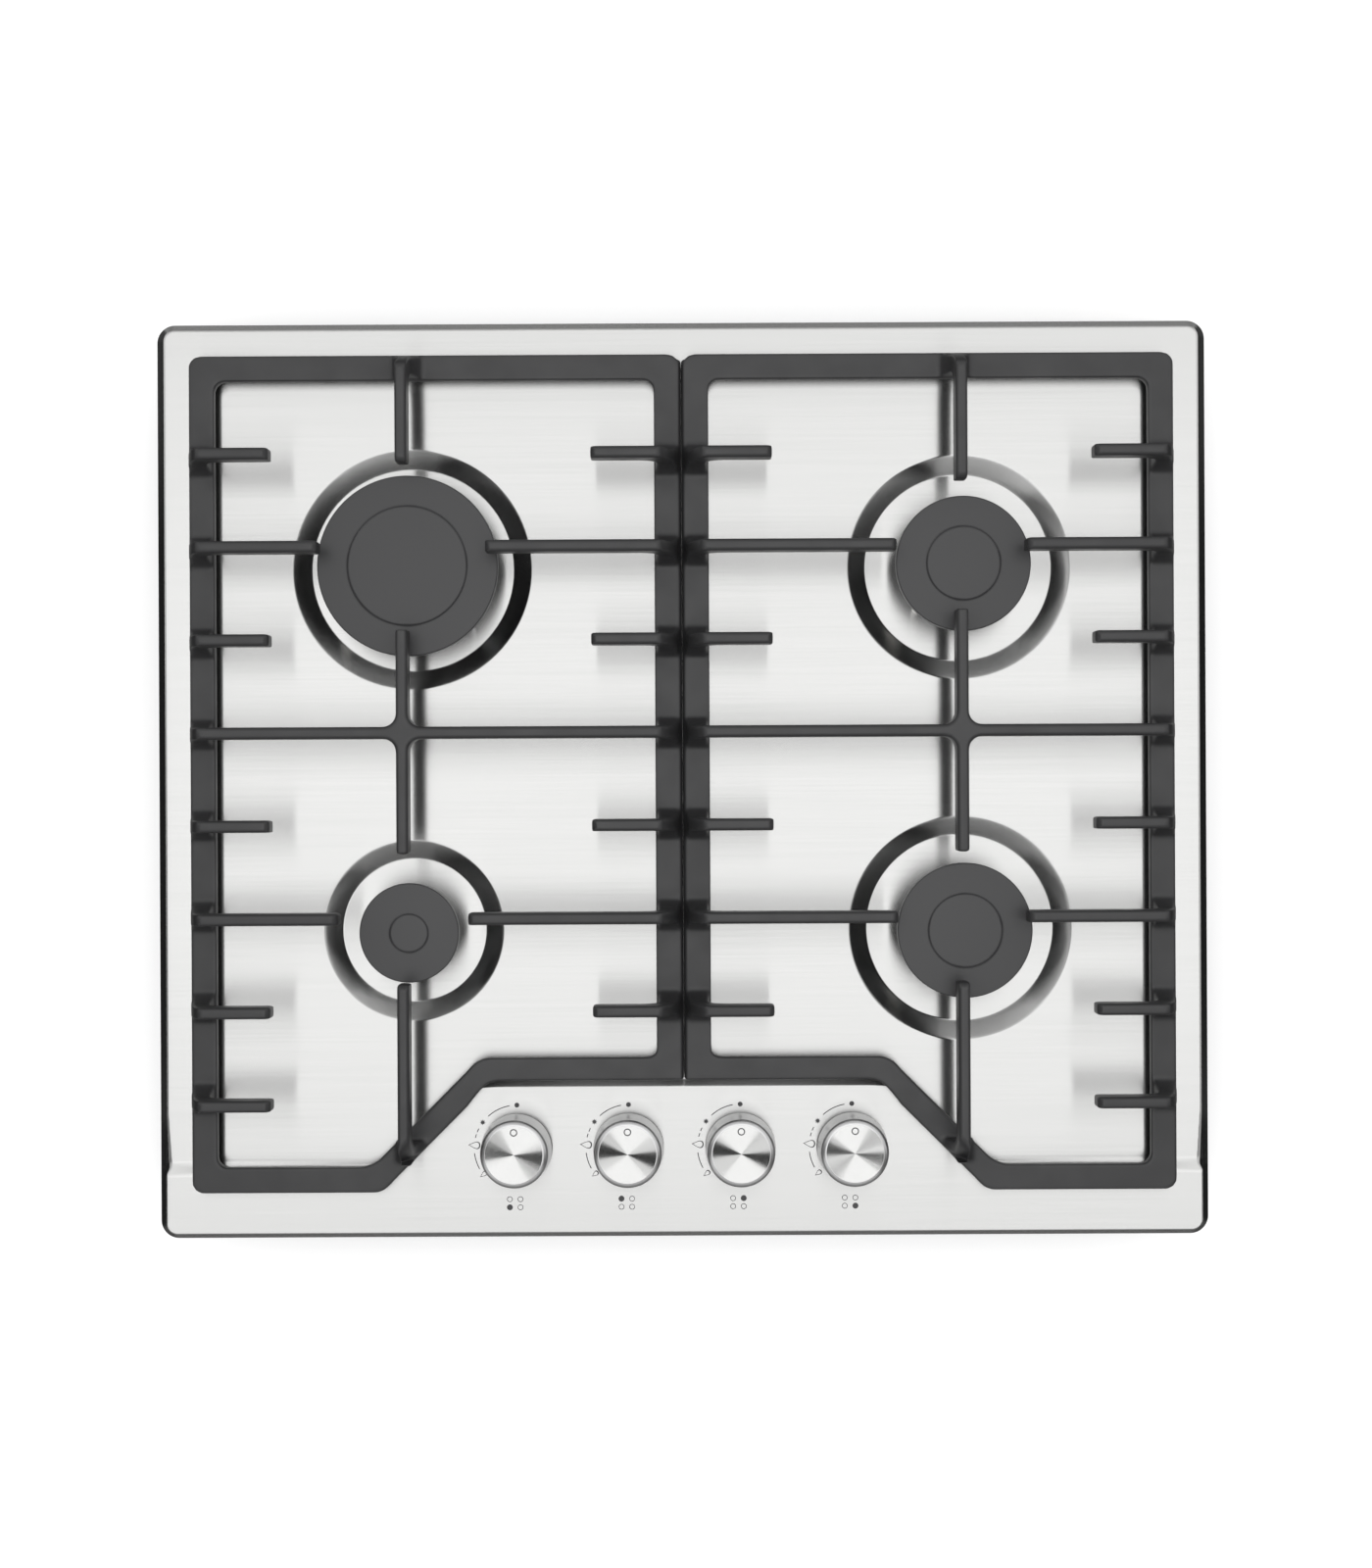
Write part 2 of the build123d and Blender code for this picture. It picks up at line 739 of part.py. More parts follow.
# ---- Cable gland and spark generator ----
gland_plane = notch_wall_plane(gland_x)
gland = extrude(gland_plane * RegularPolygon(gland_nut / 2, 6, major_radius=False), -gland_nut_length)
gland += extrude(gland_plane * Circle(gland_radius), gland_length)
bore_end = gland_plane * Pos(0, 0, -gland_nut_length)
gland -= extrude(bore_end * Circle(gland_bore), gland_nut_length + gland_length)
save(gland, "cable_gland")

case = Box(generator_width, generator_depth, generator_height, align=standing)
case = Pos(0, generator_y, box_inner_floor) * case
case = chamfer(case.edges().filter_by(Axis.Z), generator_corner)
terminal = Box(terminal_width, terminal_width, terminal_height, align=standing)
for step in range(terminals):
    terminal_x = (step - (terminals - 1) / 2) * terminal_pitch
    case += Pos(terminal_x, generator_y, box_inner_floor + generator_height) * terminal
save(case, "spark_generator")


# ---- Clamps that grip the worktop from below ----
def clamp(side, y):
    """Steel strip with a round hole for its pin, in its pocket, along the box's side."""
    x, pin_y = clamp_pin_place(side, y)
    plan = chamfer(Rectangle(clamp_width, clamp_length).vertices(), clamp_width / 4)
    middle_y = pin_y + clamp_length / 2 - clamp_width / 2
    strip = extrude(Pos(x, middle_y, box_floor + clamp_lift) * plan, clamp_sheet)
    return strip - upright(clamp_pin + pin_clearance, box_floor, 0, x, pin_y)


def clamp_screw(side, y):
    """Shouldered screw: head under the strip, pin up through the pocket's roof."""
    x, pin_y = clamp_pin_place(side, y)
    low = box_floor + clamp_lift - clamp_head - clamp_play
    head = extrude(Pos(x, pin_y, low) * RegularPolygon(2 * clamp_pin, 6), clamp_head)
    return head + upright(clamp_pin, low, box_floor + pocket_depth + clamp_pin_end, x, pin_y)


screws = []
for side, side_name in sides:
    for y, end_name in clamp_places:
        save(clamp(side, y), f"clamp_{side_name}_{end_name}")
        screws.append(clamp_screw(side, y))
save(group(screws), "clamp_screws")
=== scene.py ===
# %% [markdown]
# # A four-burner gas cooktop
# This script dresses a CAD model of a built-in gas hob, so that it looks like the real one.
# The CAD model gives every piece its place and size, and the way it moves.
# Here the pieces get their fine shape, their finish and the light of a studio.
# The CAD file counts in metres, as Blender does. A hob is drawn in millimetres, so the sizes below are too.

# %% Load the CAD model
import bpy
from math import cos, hypot, pi, radians, sin, sqrt, tan
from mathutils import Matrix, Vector
from mathutils.geometry import delaunay_2d_cdt


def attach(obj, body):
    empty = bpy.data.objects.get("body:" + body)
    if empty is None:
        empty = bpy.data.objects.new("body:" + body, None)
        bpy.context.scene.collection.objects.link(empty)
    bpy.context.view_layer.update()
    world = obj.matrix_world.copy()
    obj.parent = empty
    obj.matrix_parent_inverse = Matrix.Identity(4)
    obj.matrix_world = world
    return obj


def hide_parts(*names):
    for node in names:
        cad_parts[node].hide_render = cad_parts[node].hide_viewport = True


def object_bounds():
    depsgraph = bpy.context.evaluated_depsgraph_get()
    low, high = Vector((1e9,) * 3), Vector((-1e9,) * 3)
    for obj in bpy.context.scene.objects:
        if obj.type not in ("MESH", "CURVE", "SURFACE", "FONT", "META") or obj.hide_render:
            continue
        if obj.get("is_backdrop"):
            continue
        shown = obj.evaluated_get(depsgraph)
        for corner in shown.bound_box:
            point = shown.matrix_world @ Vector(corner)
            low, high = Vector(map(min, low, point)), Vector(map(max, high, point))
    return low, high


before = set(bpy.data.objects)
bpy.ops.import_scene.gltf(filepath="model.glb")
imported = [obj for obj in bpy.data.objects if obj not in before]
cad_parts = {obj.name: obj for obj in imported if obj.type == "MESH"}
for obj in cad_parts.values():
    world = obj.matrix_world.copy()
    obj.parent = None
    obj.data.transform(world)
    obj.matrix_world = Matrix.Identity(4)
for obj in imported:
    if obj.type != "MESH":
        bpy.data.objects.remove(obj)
cad_low, cad_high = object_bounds()
MM = 0.001
print("CAD pieces:", len(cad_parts), "box in mm:", [round(s / MM, 1) for s in cad_high - cad_low])

# %% [markdown]
# ## The camera
# The photograph looks straight down from about a metre above the plate.
# From there a piece that stands higher looks larger and leans away from the middle of the picture.
# The height sets how strong that is, and the lens then sets how much of the frame the hob fills.

# %% Camera, straight down
camera_place = (1.8, -2.6, 1054.0)
camera_lens = 43.28
camera_turn = radians(-0.28)

camera_data = bpy.data.cameras.new("photo_camera")
camera_data.lens = camera_lens
camera_data.clip_end = 20
camera = bpy.data.objects.new("photo_camera", camera_data)
camera.location = Vector(camera_place) * MM
camera.rotation_euler = (0, 0, camera_turn)
bpy.context.scene.collection.objects.link(camera)
bpy.context.scene.camera = camera
bpy.context.scene.view_settings.view_transform = "Standard"
print("camera at", tuple(camera.location))

# %% [markdown]
# ## Helpers for materials
# A designer picks colours as hex codes, which are made for screens. The renderer adds up light, so it needs
# linear values, and one function turns a code into them.
# A material is a small graph of nodes. One function adds a node, sets it, and links it to earlier ones.

# %% Colours, nodes and materials
def linear(code):
    """The linear colour of an sRGB hex code."""
    parts = [int(code[i:i + 2], 16) / 255 for i in (1, 3, 5)]
    return [c / 12.92 if c <= 0.04045 else ((c + 0.055) / 1.055) ** 2.4 for c in parts] + [1.0]


def add_node(tree, kind, settings=None, inputs=None):
    """Adds a node. A setting is a property, and an input is a value or the socket that feeds it."""
    node = tree.nodes.new(kind)
    for name, value in (settings or {}).items():
        setattr(node, name, value)
    for name, value in (inputs or {}).items():
        if isinstance(value, bpy.types.NodeSocket):
            tree.links.new(value, node.inputs[name])
        else:
            node.inputs[name].default_value = value
    return node


def new_material(name):
    """An empty material, and the tree of its nodes."""
    material = bpy.data.materials.new(name)
    material.use_nodes = True
    material.node_tree.nodes.clear()
    return material, material.node_tree


def finish_shader(tree, shader):
    """Joins a shader to the material's output."""
    add_node(tree, "ShaderNodeOutputMaterial", inputs={"Surface": shader.outputs[0]})


print("mid grey #808080 is", round(linear("#808080")[0], 3), "in linear light")

# %% [markdown]
# ## The studio
# Steel is a mirror with a grain, so it shows the room more than its own colour.
# In the photograph a long bright panel hangs over the hob, and the room is dark to the left and right
# and grey to the front and back. That gives white steel with dark rolled edges.
# The panel is one area light. Its power follows from the brightness that it should show in the steel.

# %% Light panel over the hob
light_width = 1.46
light_length = 1.6
light_height = 1.3
light_brightness = 0.8

light_data = bpy.data.lights.new("overhead_panel", "AREA")
light_data.shape = "RECTANGLE"
light_data.size = light_width
light_data.size_y = light_length
light_data.energy = light_brightness * pi * light_width * light_length
light_panel = bpy.data.objects.new("overhead_panel", light_data)
light_panel.location = (0, 0, light_height)
light_panel.visible_camera = False
bpy.context.scene.collection.objects.link(light_panel)
print("power of the light panel in watts:", round(light_data.energy, 1))

# %% [markdown]
# The world is the white room. The camera, and metal and glass that mirror the room, see it pure white.
# The light that it throws on the hob is lower, so that colours come out as they are written.

# %% World
room_level = 0.9


def seen_by_camera(tree):
    """1 for a ray that the camera sends out, also by way of a mirror or glass, and 0 for any other ray."""
    path = add_node(tree, "ShaderNodeLightPath")
    seen = add_node(tree, "ShaderNodeMath", {"operation": "MAXIMUM"},
                    {0: path.outputs["Is Camera Ray"], 1: path.outputs["Is Glossy Ray"]})
    seen = add_node(tree, "ShaderNodeMath", {"operation": "MAXIMUM"},
                    {0: seen.outputs[0], 1: path.outputs["Is Transmission Ray"]})
    return seen.outputs[0]


world = bpy.data.worlds.new("studio")
world.use_nodes = True
bpy.context.scene.world = world
tree = world.node_tree
tree.nodes.clear()
level = add_node(tree, "ShaderNodeMapRange",
                 inputs={"Value": seen_by_camera(tree), "To Min": room_level, "To Max": 1.0})
sky = add_node(tree, "ShaderNodeBackground", inputs={"Color": (1, 1, 1, 1), "Strength": level.outputs[0]})
add_node(tree, "ShaderNodeOutputWorld", inputs={"Surface": sky.outputs[0]})
print("light of the room on the hob:", room_level, "of white")

# %% [markdown]
# Photographers shape metal with boards at the edge of the set, which show up as dark or grey stripes in it.
# These boards are seen by reflections only, so they throw no shadow and the camera looks past them.

# %% One board
def screen(name, corners, brightness):
    """A flat board that only reflections see."""
    mesh = bpy.data.meshes.new(name)
    mesh.from_pydata(corners, [], [(0, 1, 2, 3)])
    board = bpy.data.objects.new(name, mesh)
    material, tree = new_material(name)
    glow = add_node(tree, "ShaderNodeEmission", inputs={"Color": (1, 1, 1, 1), "Strength": brightness})
    finish_shader(tree, glow)
    mesh.materials.append(material)
    board.visible_camera = False
    board.visible_diffuse = False
    board.visible_transmission = False
    board.visible_shadow = False
    bpy.context.scene.collection.objects.link(board)
    board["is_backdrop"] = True


def wall_screen(name, start, end, low, top, brightness):
    """An upright board between two places on the floor plan."""
    screen(name, [(*start, low), (*end, low), (*end, top), (*start, top)], brightness)


def level_screen(name, low, high, z, brightness):
    """A level board between two corners of the floor plan."""
    corners = [(low[0], low[1], z), (high[0], low[1], z), (high[0], high[1], z), (low[0], high[1], z)]
    screen(name, corners, brightness)


floor_level = cad_low.z
print("the floor lies at", round(floor_level / MM, 1), "mm")

# %% [markdown]
# Low boards stand all round, black at the sides and grey at the front and back. Others lie at the hob's foot.
# The plate's rolled edge leans outwards, so it mirrors these, and that draws its dark outline.
# Two grey boards carry on from the ends of the light panel. They shade the plate's front and rear borders.
# Two black wings stand higher up, left and right. The grooves on the knobs lean enough to mirror them.

# %% Boards round the hob, in metres
black = 0.02
side_x = 1.0
side_top = 0.25
side_low_y, side_high_y = -1.0, 0.8
end_y = 1.5
end_half = 1.4
end_tops = {"front": 0.9, "rear": 0.5}
end_grey = 0.4
foot_x, foot_y = 0.3, 0.27
foot_grey = 0.1
board_foot = floor_level + 0.004
ceiling_z = 1.32
ceiling_end = 1.45
ceiling_grey = 0.5
wing_x = 0.95
wing_low, wing_top = 0.3, 1.9

for side, name in ((-1, "left"), (1, "right")):
    x = side * side_x
    wall_screen("side_screen_" + name, (x, side_low_y), (x, side_high_y), board_foot, side_top, black)
    level_screen("foot_screen_" + name, (side * foot_x, -foot_y), (x, foot_y), board_foot, black)
for side, name in ((-1, "front"), (1, "rear")):
    y = side * end_y
    wall_screen("end_screen_" + name, (-end_half, y), (end_half, y), board_foot, end_tops[name], end_grey)
    level_screen("foot_screen_" + name, (-side_x, side * foot_y), (side_x, y), board_foot, foot_grey)
    level_screen("ceiling_screen_" + name, (-light_width / 2, side * light_length / 2),
                 (light_width / 2, side * ceiling_end), ceiling_z, ceiling_grey)
wall_screen("wing_screen_left", (-wing_x, -0.58), (-wing_x, -0.02), wing_low, wing_top, black)
wall_screen("wing_screen_right", (wing_x, -1.05), (wing_x, -0.38), wing_low, wing_top, black)

# %% [markdown]
# The floor is a matt white disc under the hob. Light falls on it as on any board, so it keeps the hob's shadow.
# A little glow, seen by the camera and by reflections, lifts it to the white of the photograph's background.

# %% Floor
floor_radius = 6.0
floor_steps = 96
floor_glow = 0.24
floor_far_glow = 0.5
glow_start, glow_end = 0.5, 2.5
floor_gap = 0.0005

floor_mesh = bpy.data.meshes.new("floor")
turns = [2 * pi * i / floor_steps for i in range(floor_steps)]
floor_rim = [(floor_radius * cos(turn), floor_radius * sin(turn), 0) for turn in turns]
floor_mesh.from_pydata(floor_rim, [], [tuple(range(floor_steps))])
floor = bpy.data.objects.new("floor", floor_mesh)
floor.location.z = floor_level - floor_gap
bpy.context.scene.collection.objects.link(floor)
floor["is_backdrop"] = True

material, tree = new_material("matt_white_board")
place = add_node(tree, "ShaderNodeTexCoord")
distance = add_node(tree, "ShaderNodeVectorMath", {"operation": "LENGTH"}, {0: place.outputs["Object"]})
glow = add_node(tree, "ShaderNodeMapRange", {"interpolation_type": "SMOOTHSTEP"},
                {"Value": distance.outputs["Value"], "From Min": glow_start, "From Max": glow_end,
                 "To Min": floor_glow, "To Max": floor_far_glow})
strength = add_node(tree, "ShaderNodeMath", {"operation": "MULTIPLY"},
                    {0: seen_by_camera(tree), 1: glow.outputs[0]})
board = add_node(tree, "ShaderNodeBsdfPrincipled",
                 inputs={"Base Color": linear("#F4F4F4"), "Roughness": 0.9, "Specular IOR Level": 0.2,
                         "Emission Color": (1, 1, 1, 1), "Emission Strength": strength.outputs[0]})
finish_shader(tree, board)
floor_mesh.materials.append(material)
print("floor radius in metres:", floor_radius)

# %% [markdown]
# ## Brushed stainless steel
# The plate is pressed from stainless sheet, ground along its width with an abrasive belt.
# The grinding leaves fine parallel scratches, so a reflection stays sharp along them and smears across them.
# Blender calls this anisotropy. The tangent is the direction of the smear, here front to back.

# %% Material of the plate
scratch_pitch = 0.9
scratch_length = 90.0

brushed_steel, tree = new_material("brushed_stainless_steel")
place = add_node(tree, "ShaderNodeTexCoord")
# Real scratches are about 0.05 mm apart, too fine for a picture of the whole hob: these are drawn at 0.9 mm.
stretch = add_node(tree, "ShaderNodeMapping", inputs={
    "Vector": place.outputs["Object"],
    "Scale": (1 / (scratch_length * MM), 1 / (scratch_pitch * MM), 1 / (scratch_pitch * MM))})
grain = add_node(tree, "ShaderNodeTexNoise", inputs={
    "Vector": stretch.outputs[0], "Scale": 1.0, "Detail": 3.0})
tone = add_node(tree, "ShaderNodeMapRange", inputs={
    "Value": grain.outputs[0], "From Min": 0.3, "From Max": 0.7, "To Min": 0.24, "To Max": 0.265})
relief = add_node(tree, "ShaderNodeBump", inputs={
    "Strength": 0.05, "Distance": 0.00005, "Height": grain.outputs[0]})
across = add_node(tree, "ShaderNodeCombineXYZ", inputs={"Y": 1.0})
steel = add_node(tree, "ShaderNodeBsdfPrincipled", inputs={
    "Base Color": linear("#C4C4C3"), "Metallic": 1.0, "Anisotropic": 1.0,
    "Roughness": tone.outputs[0], "Normal": relief.outputs[0], "Tangent": across.outputs[0]})
finish_shader(tree, steel)
print("scratches drawn every", scratch_pitch, "mm")

# %% [markdown]
# ## The top plate
# The real plate is one sheet, pressed in a die: four round wells, a raised panel at the front, and an edge
# that rolls down to the worktop. The press bends the sheet softly, and steel shows each soft bend.
# So the plate is a height map with one height for each place, and its normals come from that height.
# First the plan is cut into triangles that follow every bend, then each corner is lifted to its height.

# %% Sizes of the plate, in millimetres
half_width = 292.5
half_depth = 255.0
corner = 10.0
sheet = 1.0
field_top = 4.0
panel_top = 7.0
well_floor = -2.0

# The edge ends this high above the worktop, and its roll has its own width at each side.
edge_low = 0.3
side_roll = 5.4
rear_roll = 4.8
front_roll = 4.2

# The ramp of the raised panel: straight in the middle, slanting outwards, and straight again at the sides.
ramp_width = 4.4
ramp_middle_y = -168.8
ramp_bend_x = 118.1
ramp_side_y = -215.5

# Near the plate's sides the ramp is wider. The rolled edge beside it widens too, because the sheet is drawn.
side_ramp_width = 9.0
widening_start_x = 200.0
widening_length = 60.0
wedge_start_y = -186.0
wedge_end_y = -214.0
wedge_growth = 2.0
wedge_reach = 20.0

burners = {
    "rear_left": {"x": -150.2, "y": 117.6, "cap": 49.5, "floor": 56.0, "well": 67.3},
    "rear_right": {"x": 154.3, "y": 117.6, "cap": 37.0, "floor": 51.5, "well": 62.8},
    "front_left": {"x": -150.2, "y": -83.5, "cap": 27.25, "floor": 39.5, "well": 50.8},
    "front_right": {"x": 154.3, "y": -83.5, "cap": 37.0, "floor": 51.5, "well": 62.8},
}
burner_hole = 9.3
knob_y = -204.3
knob_x = {"front_left": -93.0, "rear_left": -31.0, "rear_right": 31.0, "front_right": 93.0}
spindle_hole = 6.0
print("plate:", 2 * half_width, "x", 2 * half_depth, "mm, wells:", len(burners), "knobs:", len(knob_x))

# %% [markdown]
# A press never makes a sharp fold: a bend starts softly, runs straight, and ends softly.
# One function has that curve, and the wells, the panel's ramp and the rolled edge all use it or one like it.

# %% Bends of the pressed sheet
well_bend = 0.1
roll_bend = 0.3


def soft_step(t, bend=0.22):
    """0 to 1 with a straight middle and a soft bend at both ends, as a press leaves it."""
    t = min(max(t, 0.0), 1.0)
    slope = 1 / (1 - bend)
    if t < bend:
        return slope * t * t / (2 * bend)
    if t > 1 - bend:
        return 1 - slope * (1 - t) ** 2 / (2 * bend)
    return slope * (t - bend / 2)


def roll_fall(share):
    """Fall of the rolled edge from 0 to 1: a tight bend, then a straight slope down to the worktop."""
    slope = 1 / (1 - roll_bend / 2)
    return slope * share * share / (2 * roll_bend) if share < roll_bend else slope * (share - roll_bend / 2)


print("fall of the edge a quarter and half of the way out:", round(roll_fall(0.25), 2), round(roll_fall(0.5), 2))

# %% [markdown]
# Three distances say where a place lies: how far in from the plate's outline, how far in from the panel's ramp,
# and how far from a burner. The height follows from them.

# %% Height of the pressed sheet
def inside_edge(x, y):
    """Distance in from the plate's outline, a rectangle with round corners."""
    qx, qy = abs(x) - (half_width - corner), abs(y) - (half_depth - corner)
    return corner - hypot(max(qx, 0), max(qy, 0)) - min(max(qx, qy), 0)


def inside_panel(x, y):
    """Distance in from the middle of the raised panel's ramp."""
    slanted = (ramp_bend_x + ramp_middle_y - abs(x) - y) / sqrt(2)
    return max(ramp_side_y - y, min(ramp_middle_y - y, slanted))


def roll_width(x, y):
    """Width of the rolled edge, which differs from side to side."""
    qx, qy = max(abs(x) - half_width + corner, 0), max(abs(y) - half_depth + corner, 0)
    end_roll = rear_roll if y > 0 else front_roll
    width = end_roll + (side_roll - end_roll) * (qx / (qx + qy) if qx + qy else 0)
    if y > wedge_start_y or abs(x) < half_width - wedge_reach:
        return width
    grow = min((y - wedge_start_y) / (wedge_end_y - wedge_start_y), 1.0)
    back = soft_step((wedge_end_y - y) / ramp_width)
    return width + wedge_growth * grow * (1 - back)


def plate_height(x, y, inner=0.0):
    """Height of the sheet's top at a place, or of its underside when inner is the sheet's thickness."""
    widening = soft_step((abs(x) - widening_start_x) / widening_length)
    width_here = ramp_width + (side_ramp_width - ramp_width) * widening
    level = field_top + (panel_top - field_top) * soft_step(inside_panel(x, y) / width_here + 0.5)
    for burner in burners.values():
        distance = hypot(x - burner["x"], y - burner["y"])
        if distance < burner["well"]:
            share = (distance - burner["floor"]) / (burner["well"] - burner["floor"])
            level = well_floor + (field_top - well_floor) * soft_step(share, well_bend)
    edge = inside_edge(x, y) - inner
    width = roll_width(x, y) - inner
    level -= inner
    if edge >= width:
        return level
    return level - (level - edge_low) * roll_fall(1 - max(edge, 0.0) / width)


well = burners["rear_left"]
print("heights of panel, field and well floor:",
      plate_height(0, -240), plate_height(0, 0), plate_height(well["x"], well["y"]))

# %% [markdown]
# A triangle that lies across a bend would flatten it. So lines are drawn along every bend first: rings round
# the wells, copies of the outline along the rolled edge, and parallel lines along the panel's ramp.

# %% Lines that the triangles follow
def ring(x, y, radius, steps):
    """Points of a circle."""
    return [(x + radius * cos(2 * pi * i / steps), y + radius * sin(2 * pi * i / steps)) for i in range(steps)]


def outline(inset, side_stops, steps=12):
    """Points of the plate's outline, drawn in by inset, with stops along its left and right sides."""
    points = []
    radius = max(corner - inset, 0.2)
    for turn, (sx, sy) in enumerate(((1, 1), (-1, 1), (-1, -1), (1, -1))):
        cx, cy = sx * (half_width - inset - radius), sy * (half_depth - inset - radius)
        for i in range(steps + 1):
            angle = pi / 2 * (turn + i / steps)
            points.append((cx + radius * cos(angle), cy + radius * sin(angle)))
        if turn in (1, 3):
            side = sx * (half_width - inset)
            stops = side_stops if turn == 3 else side_stops[::-1]
            points += [(side, stop) for stop in stops]
    return points


def ramp_line(shift):
    """Points of a line along the panel's ramp, shifted out from its middle."""
    bend = shift * (1 - sqrt(2))
    foot_of_slant = ramp_bend_x + ramp_middle_y - ramp_side_y + bend
    right = [(ramp_bend_x + bend, ramp_middle_y - shift), (foot_of_slant, ramp_side_y - shift),
             (half_width, ramp_side_y - shift)]
    return [(-x, y) for x, y in reversed(right)] + right


wedge_stops = [-180.0 - 2.5 * i for i in range(18)]
edge_insets = [0.0, 0.6, 1.2, 1.8, 2.4, 2.9, 3.2, 3.5, 3.8, 4.0,
               4.2, 4.4, 4.6, 4.8, 5.1, 5.4, 5.9, 6.4, 6.9, 7.4]
ramp_shifts = [side_ramp_width * (i / 16 - 0.5) for i in range(17)]
well_steps = 96
well_rings = 12
hole_steps = 32
holes = [(b["x"], b["y"], burner_hole) for b in burners.values()]
holes += [(x, knob_y, spindle_hole) for x in knob_x.values()]

closed = [outline(inset, wedge_stops) for inset in edge_insets]
for burner in burners.values():
    step = (burner["well"] - burner["floor"]) / well_rings
    radii = [burner["floor"] + i * step for i in range(well_rings + 1)]
    closed += [ring(burner["x"], burner["y"], radius, well_steps) for radius in radii]
closed += [ring(x, y, radius, hole_steps) for x, y, radius in holes]
lines = [ramp_line(shift) for shift in ramp_shifts]
print("closed lines:", len(closed), "open lines:", len(lines))

# %% [markdown]
# A Delaunay triangulation joins all those points to well-shaped triangles and keeps every line.
# It fills the holes for burners and spindles too, so those triangles are left out again.

# %% Triangles of the plan
points, edges = [], []
for loop in closed:
    first = len(points)
    points += loop
    edges += [(first + i, first + (i + 1) % len(loop)) for i in range(len(loop))]
for line in lines:
    first = len(points)
    points += line
    edges += [(first + i, first + i + 1) for i in range(len(line) - 1)]
cut = delaunay_2d_cdt([Vector(p) for p in points], edges, [], 0, 1e-4)
plan = [tuple(p) for p in cut[0]]


def in_hole(triangle):
    """Whether the middle of a triangle lies in a hole."""
    x, y = (sum(plan[i][axis] for i in triangle) / 3 for axis in (0, 1))
    return any(hypot(x - hx, y - hy) < radius for hx, hy, radius in holes)


def area(triangle):
    """Area of a triangle, below zero where its corners run clockwise."""
    (ax, ay), (bx, by), (cx, cy) = (plan[i] for i in triangle)
    return ((bx - ax) * (cy - ay) - (by - ay) * (cx - ax)) / 2


triangles = [t for t in cut[2] if not in_hole(t) and abs(area(t)) > 1e-6]
triangles = [t if area(t) > 0 else t[::-1] for t in triangles]
print("plan points:", len(plan), "triangles:", len(triangles))

# %% [markdown]
# The plan is lifted twice, once for the sheet's top and once for its underside, and short walls join the two
# round each hole. At the rim both share their points, where the sheet has been trimmed.

# %% Lift the plan into a sheet
def underside(x, y):
    """The sheet's end is a flat ring as wide as the sheet is thick."""
    return plate_height(x, y, sheet) if inside_edge(x, y) > sheet else edge_low


count = len(plan)
under = {i: i + count for i in range(count)}
under.update({i: i for i, (x, y) in enumerate(plan) if inside_edge(x, y) < 1e-3})
corners = [(x, y, plate_height(x, y)) for x, y in plan] + [(x, y, underside(x, y)) for x, y in plan]
faces = list(triangles) + [tuple(under[i] for i in reversed(t)) for t in triangles]
half_edges = dict.fromkeys(pair for t in triangles for pair in zip(t, (t[1], t[2], t[0])))
hole_edges = [(a, b) for a, b in half_edges
              if (b, a) not in half_edges and not (under[a] == a and under[b] == b)]
faces += [(b, a, under[a], under[b]) for a, b in hole_edges]

plate_mesh = bpy.data.meshes.new("pressed_top_plate")
plate_mesh.from_pydata([Vector(c) * MM for c in corners], [], faces)
plate = bpy.data.objects.new("pressed_top_plate", plate_mesh)
bpy.context.scene.collection.objects.link(plate)
plate_mesh.materials.append(brushed_steel)
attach(plate, "root")
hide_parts("top_plate")
print("plate faces:", len(faces), "hole edges joined:", len(hole_edges))

# %% [markdown]
# Flat triangles would show as facets in the steel. So each corner gets the true normal of the pressed surface,
# measured from the height a hair's breadth to each side of it.

# %% Normals of the sheet
normal_reach = 0.02


def slope_normal(x, y, inner):
    """Normal of the pressed surface. At the very edge it is taken a little further in."""
    if inside_edge(x, y) - inner < 2 * normal_reach:
        qx = max(abs(x) - (half_width - corner), 0) * (1 if x > 0 else -1)
        qy = max(abs(y) - (half_depth - corner), 0) * (1 if y > 0 else -1)
        outward = Vector((qx, qy)).normalized() * 3 * normal_reach
        x, y = x - outward.x, y - outward.y
    dx = plate_height(x + normal_reach, y, inner) - plate_height(x - normal_reach, y, inner)
    dy = plate_height(x, y + normal_reach, inner) - plate_height(x, y - normal_reach, inner)
    return Vector((-dx, -dy, 2 * normal_reach)).normalized()


def under_slope_normal(x, y):
    """Normal of the underside, which is flat at the sheet's end."""
    return -slope_normal(x, y, sheet) if inside_edge(x, y) > sheet + 0.05 else Vector((0, 0, -1))


top_normals = [slope_normal(x, y, 0.0) for x, y in plan]
under_normals = [under_slope_normal(x, y) for x, y in plan]
corner_normals = []
for polygon in plate_mesh.polygons:
    for index in polygon.vertices:
        if polygon.index < len(triangles):
            corner_normals.append(top_normals[index])
        elif polygon.index < 2 * len(triangles):
            corner_normals.append(under_normals[index % count])
        else:
            corner_normals.append(polygon.normal.copy())
plate_mesh.shade_smooth()
plate_mesh.normals_split_custom_set(corner_normals)
print("normals set:", len(corner_normals))

# %% [markdown]
# ## Enamelled cast iron
# The pan supports are cast in sand and coated with matt black enamel, which is a glass fired onto the iron.
# Glass reflects a little of the light in front of it, so a black bar looks dark grey from above.
# The sand and the enamel leave a fine grit that breaks up the reflection.

# %% Material of the pan supports
grit_size = 0.7

cast_iron, tree = new_material("matt_enamel_on_cast_iron")
place = add_node(tree, "ShaderNodeTexCoord")
